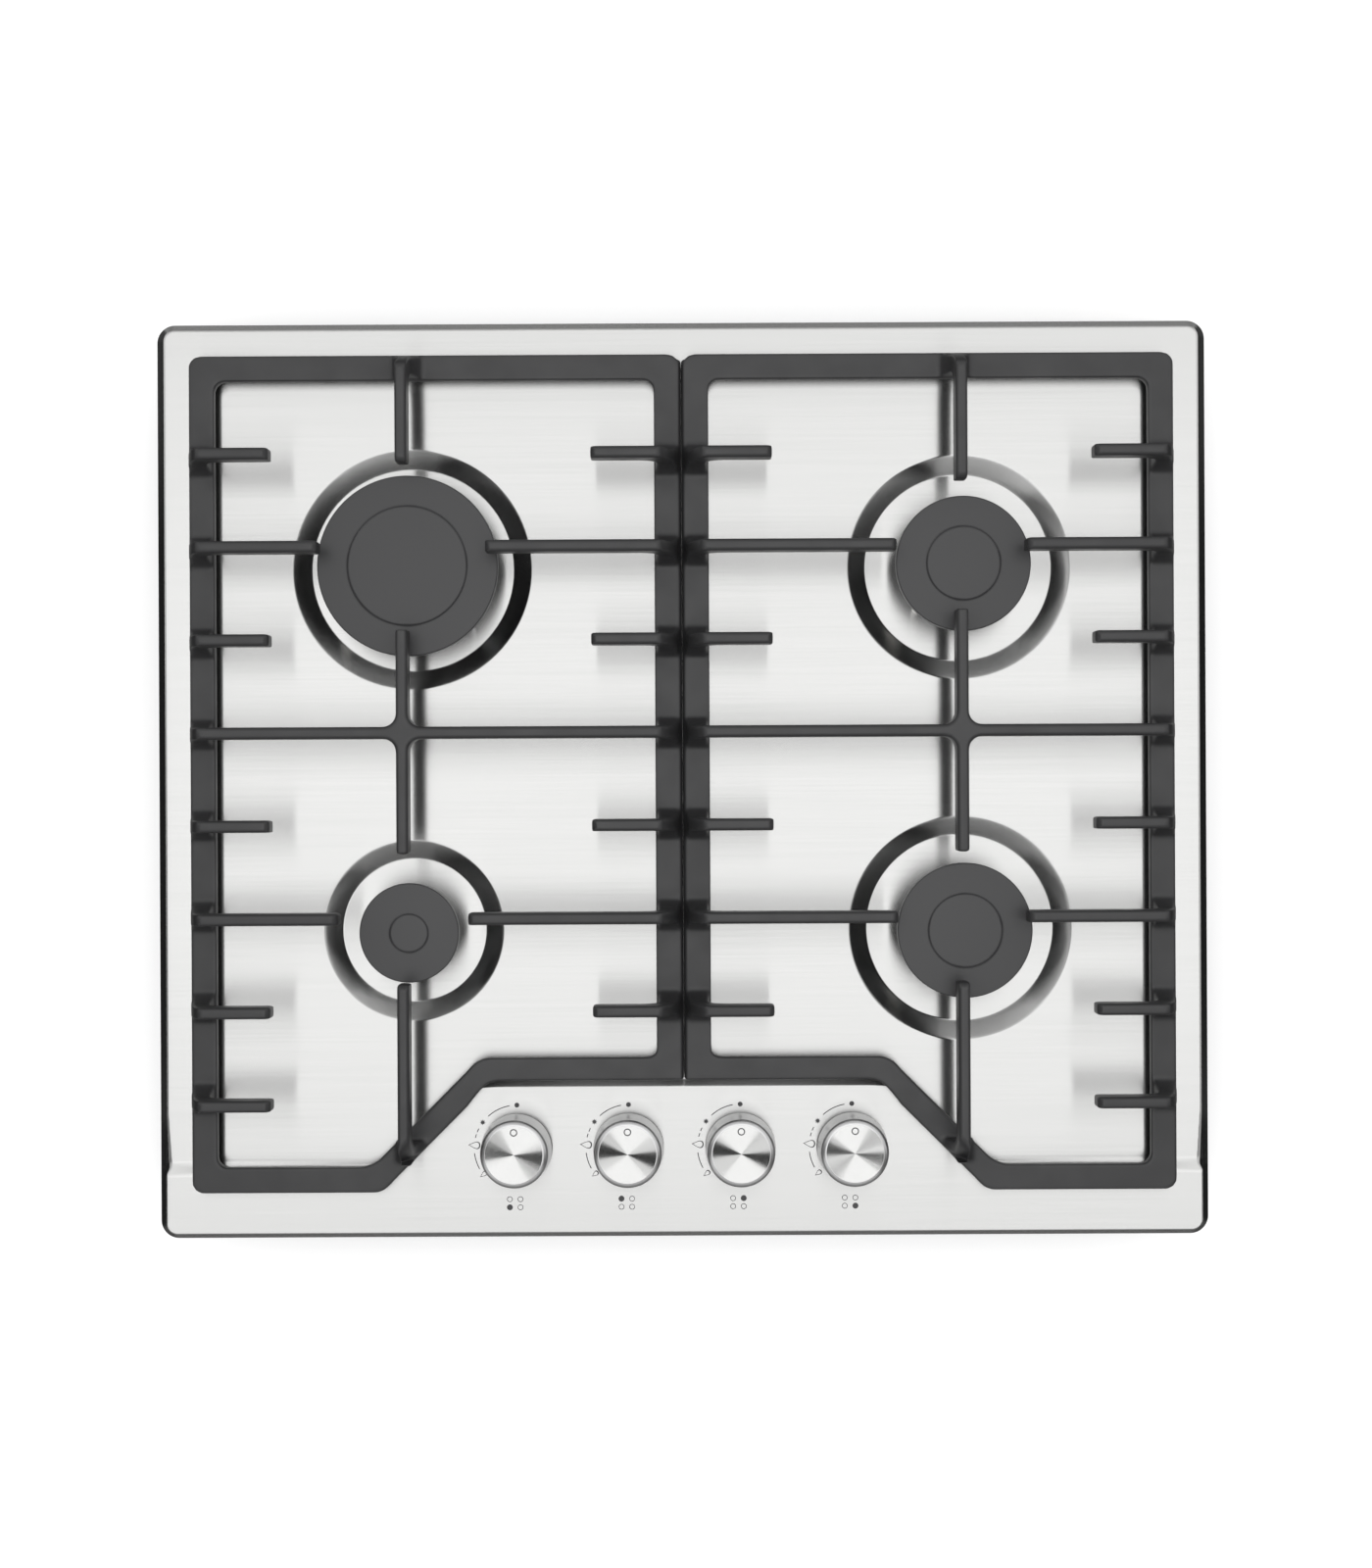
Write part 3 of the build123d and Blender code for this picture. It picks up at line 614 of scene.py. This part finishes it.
# The real grit is about 0.2 mm across. It is drawn at 0.7 mm, so that it shows.
grit = add_node(tree, "ShaderNodeTexNoise", inputs={
    "Vector": place.outputs["Object"], "Scale": 1 / (grit_size * MM), "Detail": 3.0, "Roughness": 0.6})
patches = add_node(tree, "ShaderNodeTexNoise", inputs={
    "Vector": place.outputs["Object"], "Scale": 60.0, "Detail": 2.0})
sheen = add_node(tree, "ShaderNodeMapRange", inputs={
    "Value": patches.outputs[0], "From Min": 0.3, "From Max": 0.7, "To Min": 0.42, "To Max": 0.52})
relief = add_node(tree, "ShaderNodeBump", inputs={
    "Strength": 0.25, "Distance": 0.0001, "Height": grit.outputs[0]})
enamel = add_node(tree, "ShaderNodeBsdfPrincipled", inputs={
    "Base Color": linear("#262627"), "IOR": 1.55,
    "Roughness": sheen.outputs[0], "Normal": relief.outputs[0]})
finish_shader(tree, enamel)
print("grit drawn at", grit_size, "mm")

# %% [markdown]
# ## Pan supports
# The CAD support has plain bars and sharp edges. A real one is a casting, and the photograph shows how it differs:
# - each finger root rises from the frame's outer edge in a curved ramp
# - below the tops of the bars the two supports lean towards each other, and a hair's breadth parts them
# - the front corner beside that gap is almost square
# - the post on the slanting bar stays inside that bar
# - the middle front bar is a little thinner, and sits further back.
#
# One function moves a point of the CAD support to its place in the casting.

# %% Sizes of the casting, in millimetres
support_near = 1.0
support_far = 272.0
support_rear = 234.8
support_front = -227.6
middle_front = -169.4
outer_corner = 6.5
bar_top = 13.6
finger_level = 42.0
root_width = 12.5

ledge_level = 11.8
ledge_band = 2.2
ledge_reach = 0.02

# Along the slanting bar's outer edge |x| + y has one value.
slant_sum = -60.6
slant_skin = 0.2
slant_start_x, slant_end_x = 116, 162

middle_bar = 14.0
middle_bar_seen = 12.7
middle_bar_back = 2.0
middle_bar_end_x = 120
middle_bar_fade = 12
middle_bar_blend = 6
print("a support is", support_far - support_near, "x", round(support_rear - support_front, 1), "mm")

# %% Shape of the casting
def inside_support(x, y):
    """Distance in from the outer edge of a support's frame."""
    x = abs(x)
    front = y - support_front
    if y > support_front + 20:
        front = max(y - middle_front, (x + y - slant_sum) / sqrt(2))
    return min(x - support_near, support_far - x, support_rear - y, front)


def square_corner(x, y, side):
    """Stretches the quarter circle of the middle front corner to a square."""
    middle_x, middle_y = support_near + outer_corner, middle_front + outer_corner
    dx, dy = middle_x - abs(x), middle_y - y
    if min(dx, dy) > 0:
        stretch = hypot(dx, dy) / max(dx, dy)
        x, y = side * (middle_x - dx * stretch), middle_y - dy * stretch
    return x, y


def middle_bar_y(x, y):
    """Where the middle front bar lies in the casting. It runs out softly behind the bar and at its end."""
    inner_y = middle_front + middle_bar
    moved = inner_y + middle_bar_back + (y - inner_y) * middle_bar_seen / middle_bar
    if y > inner_y:
        moved = y + middle_bar_back * (1 - (y - inner_y) / middle_bar_blend)
    return y + (moved - y) * min(max((middle_bar_end_x - abs(x)) / middle_bar_fade, 0.0), 1.0)


def shape_vertex(x, y, z):
    """Where a point of the CAD support goes in the casting."""
    side = 1 if x > 0 else -1
    if z > bar_top:
        rise = min(max(inside_support(x, y) / root_width, 0.0), 1.0)
        z = min(z, bar_top + (finger_level - bar_top) * sin(rise * pi / 2))
    x, y = square_corner(x, y, side)
    if abs(x) < ledge_band and z < ledge_level:
        x = side * ledge_reach
    outside = (slant_sum + slant_skin - abs(x) - y) / 2
    if outside > 0 and slant_start_x < abs(x) < slant_end_x:
        x, y = x + side * outside, y + outside
    if z <= bar_top + 0.5 and y < middle_front + middle_bar + middle_bar_blend:
        y = middle_bar_y(x, y)
    return x, y, z


root_heights = [round(shape_vertex(support_far - inset, 0, 99)[2], 1) for inset in (3, 9)]
print("height of a finger root 3 mm and 9 mm in from the frame's edge:", root_heights)

# %% [markdown]
# A cast edge is never sharp: the sand, the iron's skin and the enamel all round it.
# So the shaped copy is cast again in small cubes of space (a voxel remesh), smoothed, and thinned out.
# The rounding then runs through every joint of bars and fingers, as in a casting.

# %% Cast the pan supports from the CAD solids
voxel = 0.75
smooth_rounds = 10
kept_share = 0.35


def through_modifiers(piece, *kinds):
    """Runs modifiers over a piece, and keeps the mesh that comes out."""
    for kind, settings in kinds:
        modifier = piece.modifiers.new(kind, kind)
        for name, value in settings.items():
            setattr(modifier, name, value)
    shaped = piece.evaluated_get(bpy.context.evaluated_depsgraph_get())
    piece.data = bpy.data.meshes.new_from_object(shaped)
    piece.modifiers.clear()


weld = ("WELD", {"merge_threshold": 0.00002})
cubes = ("REMESH", {"mode": "VOXEL", "voxel_size": voxel * MM, "use_smooth_shade": True})
smooth = ("SMOOTH", {"factor": 0.5, "iterations": smooth_rounds})
thin_out = ("DECIMATE", {"ratio": kept_share})
for side in ("left", "right"):
    cad_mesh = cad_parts[side + "_pan_support"].data
    cast = bpy.data.objects.new("cast_support_" + side, cad_mesh.copy())
    bpy.context.scene.collection.objects.link(cast)
    through_modifiers(cast, weld, cubes)
    for vertex in cast.data.vertices:
        vertex.co = Vector(shape_vertex(*(vertex.co / MM))) * MM
    through_modifiers(cast, cubes, smooth, thin_out)
    cast.data.materials.clear()
    cast.data.materials.append(cast_iron)
    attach(cast, side + "_support")
    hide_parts(side + "_pan_support")
    nearest = min(abs(v.co.x) for v in cast.data.vertices)
    print(cast.name, "faces:", len(cast.data.polygons), "gap to the middle in mm:", round(nearest / MM, 2))

# %% [markdown]
# ## Pieces from the lathe
# Caps and knobs are round, so one function turns a profile round an upright axis.
# A second one softens the profile's corners first: a small round edge catches the light as the real one does.

# %% Lathe
def soften_profile(profile, reach, parts=5):
    """Rounds each inner corner of a profile over a given reach."""
    out = [Vector(profile[0])]
    for before, here, after in zip(profile, profile[1:], profile[2:]):
        before, here, after = Vector(before), Vector(here), Vector(after)
        back = min(reach, (before - here).length * 0.45)
        ahead = min(reach, (after - here).length * 0.45)
        start = here + (before - here).normalized() * back
        end = here + (after - here).normalized() * ahead
        for i in range(parts + 1):
            t = i / parts
            out.append(start * (1 - t) ** 2 + here * 2 * t * (1 - t) + end * t * t)
    out.append(Vector(profile[-1]))
    return out


def lathe(name, profile, place, steps=128):
    """Turns a profile of (radius, height) points round the upright axis at a place, in millimetres."""
    rows, points, faces = [], [], []
    for radius, height in profile:
        row = ring(0, 0, radius, steps) if radius > 1e-6 else [(0, 0)]
        rows.append(list(range(len(points), len(points) + len(row))))
        points += [(x, y, height) for x, y in row]
    for low, high in zip(rows, rows[1:]):
        for i in range(steps):
            j = (i + 1) % steps
            if len(low) == 1 and len(high) > 1:
                faces.append((low[0], high[j], high[i]))
            elif len(high) == 1 and len(low) > 1:
                faces.append((low[i], low[j], high[0]))
            elif len(low) > 1:
                faces.append((low[i], low[j], high[j], high[i]))
    mesh = bpy.data.meshes.new(name)
    mesh.from_pydata([Vector(p) * MM for p in points], [], faces)
    mesh.validate()
    mesh.shade_smooth()
    mesh.set_sharp_from_angle(angle=radians(40))
    piece = bpy.data.objects.new(name, mesh)
    piece.location = Vector(place) * MM
    bpy.context.scene.collection.objects.link(piece)
    return piece


print("a softened corner has", len(soften_profile([(0, 0), (1, 0), (1, 1)], 0.2)) - 2, "points")

# %% [markdown]
# ## Burner caps
# A cap is pressed steel with satin black enamel. It has a raised disc in its middle.
# The enamel is smoother than on the supports, so it shows one even grey.

# %% Material of the caps
cap_enamel, tree = new_material("satin_enamel_on_steel")
place = add_node(tree, "ShaderNodeTexCoord")
# Enamel has a faint orange peel, waves about 2 mm across.
peel = add_node(tree, "ShaderNodeTexNoise", inputs={
    "Vector": place.outputs["Object"], "Scale": 1 / (2 * MM), "Detail": 1.0})
relief = add_node(tree, "ShaderNodeBump", inputs={
    "Strength": 0.08, "Distance": 0.0001, "Height": peel.outputs[0]})
enamel = add_node(tree, "ShaderNodeBsdfPrincipled", inputs={
    "Base Color": linear("#333334"), "IOR": 1.5, "Roughness": 0.42, "Normal": relief.outputs[0]})
finish_shader(tree, enamel)
print("cap enamel nodes:", len(tree.nodes))

# %% Burner caps
cap_rise = 5.2
boss_inset = 17.2
boss_slope = 0.7
boss_rise = 1.2
cap_softness = 0.9
crown_top = 17.0

for name, burner in burners.items():
    boss = burner["cap"] - boss_inset
    profile = [(0, 0), (burner["cap"], 0), (burner["cap"], cap_rise), (boss + boss_slope, cap_rise),
               (boss, cap_rise + boss_rise), (0, cap_rise + boss_rise)]
    profile = soften_profile(profile, cap_softness)
    cap = lathe("enamel_cap_" + name, profile, (burner["x"], burner["y"], crown_top))
    cap.data.materials.append(cap_enamel)
    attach(cap, "cap_" + name)
    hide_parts("burner_cap_" + name)
    print(cap.name, "diameter:", round(cap.dimensions.x / MM, 1))

# %% [markdown]
# ## Knobs
# A knob is a turned aluminium shell: a side that leans in a little, a rounded edge, and a top with turned rings.
# The rings are tiny V grooves. Each groove has an inner and an outer wall, and both tilt the reflection
# along the radius. To the left and right they mirror the black wings, and that makes the two dark wedges.
# A bump map blurs away what is finer than a pixel, so here nodes work out the normal of each groove wall.

# %% Turned top of a knob
groove_pitch = 0.5
groove_tilt = radians(20)

turned_top, tree = new_material("turned_aluminium")
place = add_node(tree, "ShaderNodeTexCoord")
flat_place = add_node(tree, "ShaderNodeVectorMath", {"operation": "MULTIPLY"},
                      {0: place.outputs["Object"], 1: (1, 1, 0)})
radius = add_node(tree, "ShaderNodeVectorMath", {"operation": "LENGTH"}, {0: flat_place.outputs[0]})
outward = add_node(tree, "ShaderNodeVectorMath", {"operation": "NORMALIZE"}, {0: flat_place.outputs[0]})
# Real turning marks are about 0.1 mm apart. They are drawn at 0.5 mm, which is still finer than a pixel.
ring_count = add_node(tree, "ShaderNodeMath", {"operation": "DIVIDE"},
                      {0: radius.outputs["Value"], 1: groove_pitch * MM})
phase = add_node(tree, "ShaderNodeMath", {"operation": "FRACT"}, {0: ring_count.outputs[0]})
wall = add_node(tree, "ShaderNodeMath", {"operation": "GREATER_THAN"}, {0: phase.outputs[0], 1: 0.5})
lean = add_node(tree, "ShaderNodeMapRange", inputs={
    "Value": wall.outputs[0], "To Min": -tan(groove_tilt), "To Max": tan(groove_tilt)})
tilt = add_node(tree, "ShaderNodeVectorMath", {"operation": "SCALE"},
                {0: outward.outputs[0], "Scale": lean.outputs[0]})
upright = add_node(tree, "ShaderNodeVectorMath", {"operation": "ADD"}, {0: tilt.outputs[0], 1: (0, 0, 1)})
normal = add_node(tree, "ShaderNodeVectorTransform",
                  {"vector_type": "NORMAL", "convert_from": "OBJECT", "convert_to": "WORLD"},
                  {0: upright.outputs[0]})
turned = add_node(tree, "ShaderNodeBsdfPrincipled", inputs={
    "Base Color": linear("#D4D4D3"), "Metallic": 1.0, "Roughness": 0.16, "Normal": normal.outputs[0]})
finish_shader(tree, turned)
print("grooves every", groove_pitch, "mm, nodes:", len(tree.nodes))

# %% [markdown]
# The knob's side is blasted with fine beads, which leaves a soft grey without lines.
# The ring mark on top is engraved and filled with dark paint, a little worn, so its tone varies.

# %% Side and mark of a knob
satin_side, tree = new_material("satin_aluminium")
place = add_node(tree, "ShaderNodeTexCoord")
# The dimples that the beads leave are about 0.1 mm across. They are drawn at 0.6 mm.
blast = add_node(tree, "ShaderNodeTexNoise", inputs={
    "Vector": place.outputs["Object"], "Scale": 1 / (0.6 * MM), "Detail": 2.0})
tone = add_node(tree, "ShaderNodeMapRange", inputs={
    "Value": blast.outputs[0], "From Min": 0.3, "From Max": 0.7, "To Min": 0.28, "To Max": 0.36})
satin = add_node(tree, "ShaderNodeBsdfPrincipled", inputs={
    "Base Color": linear("#C4C4C4"), "Metallic": 1.0, "Roughness": tone.outputs[0]})
finish_shader(tree, satin)


def dark_film(name, grain_mm, darker, lighter, roughness):
    """Paint or ink: a matt film whose tone wanders between two greys."""
    material, tree = new_material(name)
    place = add_node(tree, "ShaderNodeTexCoord")
    mottle = add_node(tree, "ShaderNodeTexNoise", inputs={
        "Vector": place.outputs["Object"], "Scale": 1 / (grain_mm * MM), "Detail": 2.0})
    tone = add_node(tree, "ShaderNodeValToRGB", inputs={"Fac": mottle.outputs[0]})
    tone.color_ramp.elements[0].color = linear(darker)
    tone.color_ramp.elements[1].color = linear(lighter)
    film = add_node(tree, "ShaderNodeBsdfPrincipled", inputs={
        "Base Color": tone.outputs[0], "Roughness": roughness})
    finish_shader(tree, film)
    return material


mark_paint = dark_film("dark_paint_in_engraving", 1.5, "#343434", "#484848", 0.6)
print("knob materials:", turned_top.name, satin_side.name, mark_paint.name)

# %% [markdown]
# Marks are flat shapes with a little thickness. One function raises any outline to such a plate, and a pair of
# outlines to a plate with a hole.

# %% Flat shapes
def flat_piece(name, shapes, low, high):
    """Thin pieces with straight walls, from shapes that are each an outline and its hole or None."""
    points, faces = [], []
    for outer, hole in shapes:
        first, n = len(points), len(outer)
        loops = (outer, hole) if hole else (outer,)
        for level in (low, high):
            for loop in loops:
                points += [(x, y, level) for x, y in loop]
        size = n * len(loops)
        for i in range(n):
            j = (i + 1) % n
            faces.append((first + i, first + j, first + size + j, first + size + i))
            if hole:
                faces.append((first + n + j, first + n + i, first + size + n + i, first + size + n + j))
                faces.append((first + size + i, first + size + j, first + size + n + j, first + size + n + i))
                faces.append((first + j, first + i, first + n + i, first + n + j))
        if not hole:
            faces.append(tuple(first + size + i for i in range(n)))
            faces.append(tuple(first + i for i in reversed(range(n))))
    mesh = bpy.data.meshes.new(name)
    mesh.from_pydata([Vector(p) * MM for p in points], [], faces)
    mesh.validate()
    piece = bpy.data.objects.new(name, mesh)
    bpy.context.scene.collection.objects.link(piece)
    return piece


def disc(x, y, radius):
    """A filled circle."""
    return ring(x, y, radius, 24), None


def hoop(x, y, radius, line):
    """A circle drawn with a line."""
    return ring(x, y, radius + line / 2, 32), ring(x, y, radius - line / 2, 32)


print("points in a disc and in a hoop:", len(disc(0, 0, 1)[0]), len(hoop(0, 0, 1, 0.1)[0]))

# %% [markdown]
# The knob turns on its spindle, so its shell and its mark ride on the control of its own burner.

# %% Knobs
knob_foot = 10.6
knob_base = 19.5
knob_skirt = 1.2
knob_shoulder = 18.6
knob_face = 15.0
knob_bend = 3.0
knob_height = 17.5
mark_reach = 12.3
mark_radius = 1.75
mark_line = 0.6

knob_top = knob_foot + knob_height
turns = [pi / 2 * i / 8 for i in range(9)]
rounded_edge = [(knob_shoulder - (knob_shoulder - knob_face) * (1 - cos(turn)),
                 knob_height - knob_bend * (1 - sin(turn))) for turn in turns]
knob_profile = [(0, 0), (knob_base, 0), (knob_base, knob_skirt)] + rounded_edge + [(0, knob_height)]
for name, x in knob_x.items():
    knob = lathe("turned_knob_" + name, knob_profile, (x, knob_y, knob_foot))
    knob.data.materials.append(satin_side)
    knob.data.materials.append(turned_top)
    for polygon in knob.data.polygons:
        on_top = polygon.center.z > (knob_height - 0.06) * MM
        polygon.material_index = 1 if on_top else 0
    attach(knob, "control_" + name)
    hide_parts("knob_" + name)

    mark_shape = hoop(x, knob_y + mark_reach, mark_radius, mark_line)
    mark = flat_piece("knob_ring_mark_" + name, [mark_shape], knob_top - 0.1, knob_top + 0.02)
    mark.data.materials.append(mark_paint)
    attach(mark, "control_" + name)
print("top of the knobs at", knob_top, "mm")

# %% [markdown]
# ## Printed marks
# The marks on the panel are screen-printed ink: a film a few hundredths of a millimetre thick.
# They are flat shapes just above the steel, so they stay sharp and need no image.
# Round each knob: a dot for off, a spark for lighting, a large and a small flame with arcs between them.
# Below it four little circles stand for the four burners, and the filled one is the knob's own.

# %% Shapes of the marks
marks_radius = 23.8


def around(x, angle, radius=marks_radius):
    """A place round a knob, at an angle in degrees turned left from the dot."""
    a = radians(angle)
    return x - radius * sin(a), knob_y + radius * cos(a)


def band(x, start, end, line=0.5):
    """A thin arc round a knob, between two angles."""
    steps = 16
    angles = [start + (end - start) * i / steps for i in range(steps + 1)]
    outer = [around(x, a, marks_radius + line / 2) for a in angles]
    inner = [around(x, a, marks_radius - line / 2) for a in angles]
    return inner + outer[::-1], None


def spark(x, angle, size):
    """A star with eight points."""
    cx, cy = around(x, angle)
    tips = [(size if i % 2 == 0 else size * 0.5) for i in range(16)]
    return [(cx + r * cos(pi * i / 8), cy + r * sin(pi * i / 8)) for i, r in enumerate(tips)], None


def flame(x, angle, size, line):
    """The outline of a flame, its tip away from the knob."""
    a = radians(angle)
    middle, out, side = Vector(around(x, angle)), Vector((-sin(a), cos(a))), Vector((cos(a), sin(a)))
    loops = []
    for reach in (size, size - line):
        turns = [2 * pi * i / 24 for i in range(24)]
        loops.append([tuple(middle + out * cos(t) * reach + side * sin(t) * (0.5 - 0.42 * cos(t)) * reach)
                      for t in turns])
    return loops[0], loops[1]


print("the marks stand", marks_radius, "mm from the middle of a knob")

# %% Print the marks
marks_low, marks_high = panel_top, panel_top + 0.04
burner_icons = {"front_left": (-1, -1), "rear_left": (-1, 1), "rear_right": (1, 1), "front_right": (1, -1)}
icon_y = -235.0
icon_shift = 1.2
icon_pitch = (2.95, 2.25)

# Ink is matt and a little uneven. The unevenness is finer than 0.1 mm on the hob and drawn at 0.8 mm.
ink = dark_film("screen_print_ink", 0.8, "#303031", "#444446", 0.55)
for name, x in knob_x.items():
    shapes = [disc(*around(x, 0), 1.35), band(x, 10, 42), spark(x, 53, 1.7), band(x, 63, 68), band(x, 71, 76),
              flame(x, 86, 3.4, 0.7), band(x, 97, 119), flame(x, 128, 2.2, 0.6)]
    for burner, (side, depth) in burner_icons.items():
        cx, cy = x - icon_shift + side * icon_pitch[0], icon_y + depth * icon_pitch[1]
        shapes.append(disc(cx, cy, 1.65) if burner == name else hoop(cx, cy, 1.4, 0.35))
    marks = flat_piece("printed_marks_" + name, shapes, marks_low, marks_high)
    marks.data.materials.append(ink)
    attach(marks, "root")
print("marks printed round", len(knob_x), "knobs")

# %% [markdown]
# ## Finishes of the pieces that keep their CAD shape
# Rubber, galvanised sheet, brass, aluminium and ceramic each get their own surface.
# Most of them sit below the plate and show from the side or from below, or when a cap is lifted off.
# One function makes them all: two tones that mottle, a gloss, and a relief with the grain of the real surface.

# %% Plain finishes from a table
def speckled_finish(name, dark, light, metallic, roughness, grain_mm, bump, ior=1.5):
    """A finish with a fine mottle between two tones, and a relief of the same grain."""
    material, tree = new_material(name)
    place = add_node(tree, "ShaderNodeTexCoord")
    grain = add_node(tree, "ShaderNodeTexNoise", inputs={
        "Vector": place.outputs["Object"], "Scale": 1 / (grain_mm * MM), "Detail": 3.0})
    tone = add_node(tree, "ShaderNodeValToRGB", inputs={"Fac": grain.outputs[0]})
    tone.color_ramp.elements[0].position = 0.3
    tone.color_ramp.elements[1].position = 0.7
    tone.color_ramp.elements[0].color = linear(dark)
    tone.color_ramp.elements[1].color = linear(light)
    relief = add_node(tree, "ShaderNodeBump", inputs={
        "Strength": bump, "Distance": 0.0001, "Height": grain.outputs[0]})
    inputs = {"Base Color": tone.outputs[0], "Metallic": metallic, "Roughness": roughness,
              "Normal": relief.outputs[0]}
    if not metallic:
        inputs["IOR"] = ior
    shader = add_node(tree, "ShaderNodeBsdfPrincipled", inputs=inputs)
    finish_shader(tree, shader)
    return material


# Metals: a casting is grainy and dull, a drawn tube smooth, turned brass warm, and plated steel a cool grey.
cast_aluminium = speckled_finish("die_cast_aluminium", "#9C9D9E", "#B4B5B6", 1.0, 0.45, 0.8, 0.3)
pipe_aluminium = speckled_finish("drawn_aluminium_tube", "#B9BABB", "#CBCCCD", 1.0, 0.3, 2.0, 0.05)
brass = speckled_finish("turned_brass", "#B08D4A", "#C9A75F", 1.0, 0.3, 0.6, 0.1)
plain_steel = speckled_finish("zinc_plated_steel", "#8E9092", "#A6A8AA", 1.0, 0.35, 1.2, 0.1)
# The burner heads are made near black, so from above they hardly show beside the caps.
near_black_heads = speckled_finish("near_black_aluminium", "#232324", "#2E2E2F", 1.0, 0.5, 0.8, 0.3)
# Foam has open pores and no shine, rubber a dull one, ceramic a glaze, and the plastic a fine moulded grain.
foam_rubber = speckled_finish("closed_cell_foam", "#161617", "#262627", 0.0, 0.9, 0.6, 0.6)
foot_rubber = speckled_finish("moulded_silicone_rubber", "#141415", "#1E1E1F", 0.0, 0.7, 0.8, 0.2, 1.42)
ceramic = speckled_finish("glazed_alumina_ceramic", "#E4E2DB", "#F0EEE8", 0.0, 0.2, 2.0, 0.03, 1.76)
black_plastic = speckled_finish("moulded_polyamide", "#191A1B", "#232425", 0.0, 0.5, 0.5, 0.2, 1.53)
print("nodes in a plain finish:", len(black_plastic.node_tree.nodes))

# %% [markdown]
# Galvanised steel shows spangles: crystals of zinc, each a patch with its own tone and its own gloss.
# A Voronoi pattern has such patches, with one random value for each.

# %% Galvanised sheet of the box
spangle_size = 8.0

galvanised, tree = new_material("galvanised_sheet")
place = add_node(tree, "ShaderNodeTexCoord")
crystals = add_node(tree, "ShaderNodeTexVoronoi", inputs={
    "Vector": place.outputs["Object"], "Scale": 1 / (spangle_size * MM)})
value = add_node(tree, "ShaderNodeSeparateColor", inputs={0: crystals.outputs["Color"]})
tone = add_node(tree, "ShaderNodeValToRGB", inputs={"Fac": value.outputs[0]})
tone.color_ramp.elements[0].color = linear("#9A9D9F")
tone.color_ramp.elements[1].color = linear("#B4B7B9")
gloss = add_node(tree, "ShaderNodeMapRange", inputs={"Value": value.outputs[1], "To Min": 0.38, "To Max": 0.52})
sheet_metal = add_node(tree, "ShaderNodeBsdfPrincipled", inputs={
    "Base Color": tone.outputs[0], "Metallic": 1.0, "Roughness": gloss.outputs[0]})
finish_shader(tree, sheet_metal)
print("spangles about", spangle_size, "mm across")

# %% [markdown]
# A table says which piece has which finish. The print at its end shows that no piece was left without one.

# %% Give each CAD piece its finish
finish_of = {
    "underbox": galvanised, "rim_seal": foam_rubber, "burner_cups": cast_aluminium, "injectors": brass,
    "igniter_insulators": ceramic, "igniter_tips": plain_steel, "thermocouples": plain_steel,
    "gas_rail": plain_steel, "gas_pipes": pipe_aluminium, "valve_bodies": cast_aluminium, "gas_inlet": brass,
    "cable_gland": black_plastic, "spark_generator": black_plastic, "clamp_screws": plain_steel,
    "left_support_feet": foot_rubber, "right_support_feet": foot_rubber,
    "clamp_left_front": galvanised, "clamp_left_rear": galvanised,
    "clamp_right_front": galvanised, "clamp_right_rear": galvanised,
}
for name in burners:
    finish_of["burner_head_" + name] = near_black_heads
    finish_of["valve_plug_" + name] = brass
    finish_of["valve_spindle_" + name] = plain_steel

for name, material in finish_of.items():
    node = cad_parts[name]
    if not node.material_slots:
        node.data.materials.append(material)
    for slot in node.material_slots:
        slot.material = material
replaced = {"top_plate", "left_pan_support", "right_pan_support"}
replaced |= {kind + name for kind in ("knob_", "burner_cap_") for name in burners}
left_over = set(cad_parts) - set(finish_of) - replaced
print("CAD pieces with a finish:", len(finish_of), "left over:", sorted(left_over))

# %% [markdown]
# ## Measure the size
# Both boxes are measured, and a print shows how far the dressed model reaches past the CAD model's box on each
# side. The dressed model has to stay inside the CAD model's box.

# %% Measure how far the model grows
low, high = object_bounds()
grown_low = [round((c - v) / MM, 2) for c, v in zip(cad_low, low)]
grown_high = [round((v - c) / MM, 2) for c, v in zip(cad_high, high)]
print("grown by mm:", grown_low, grown_high)
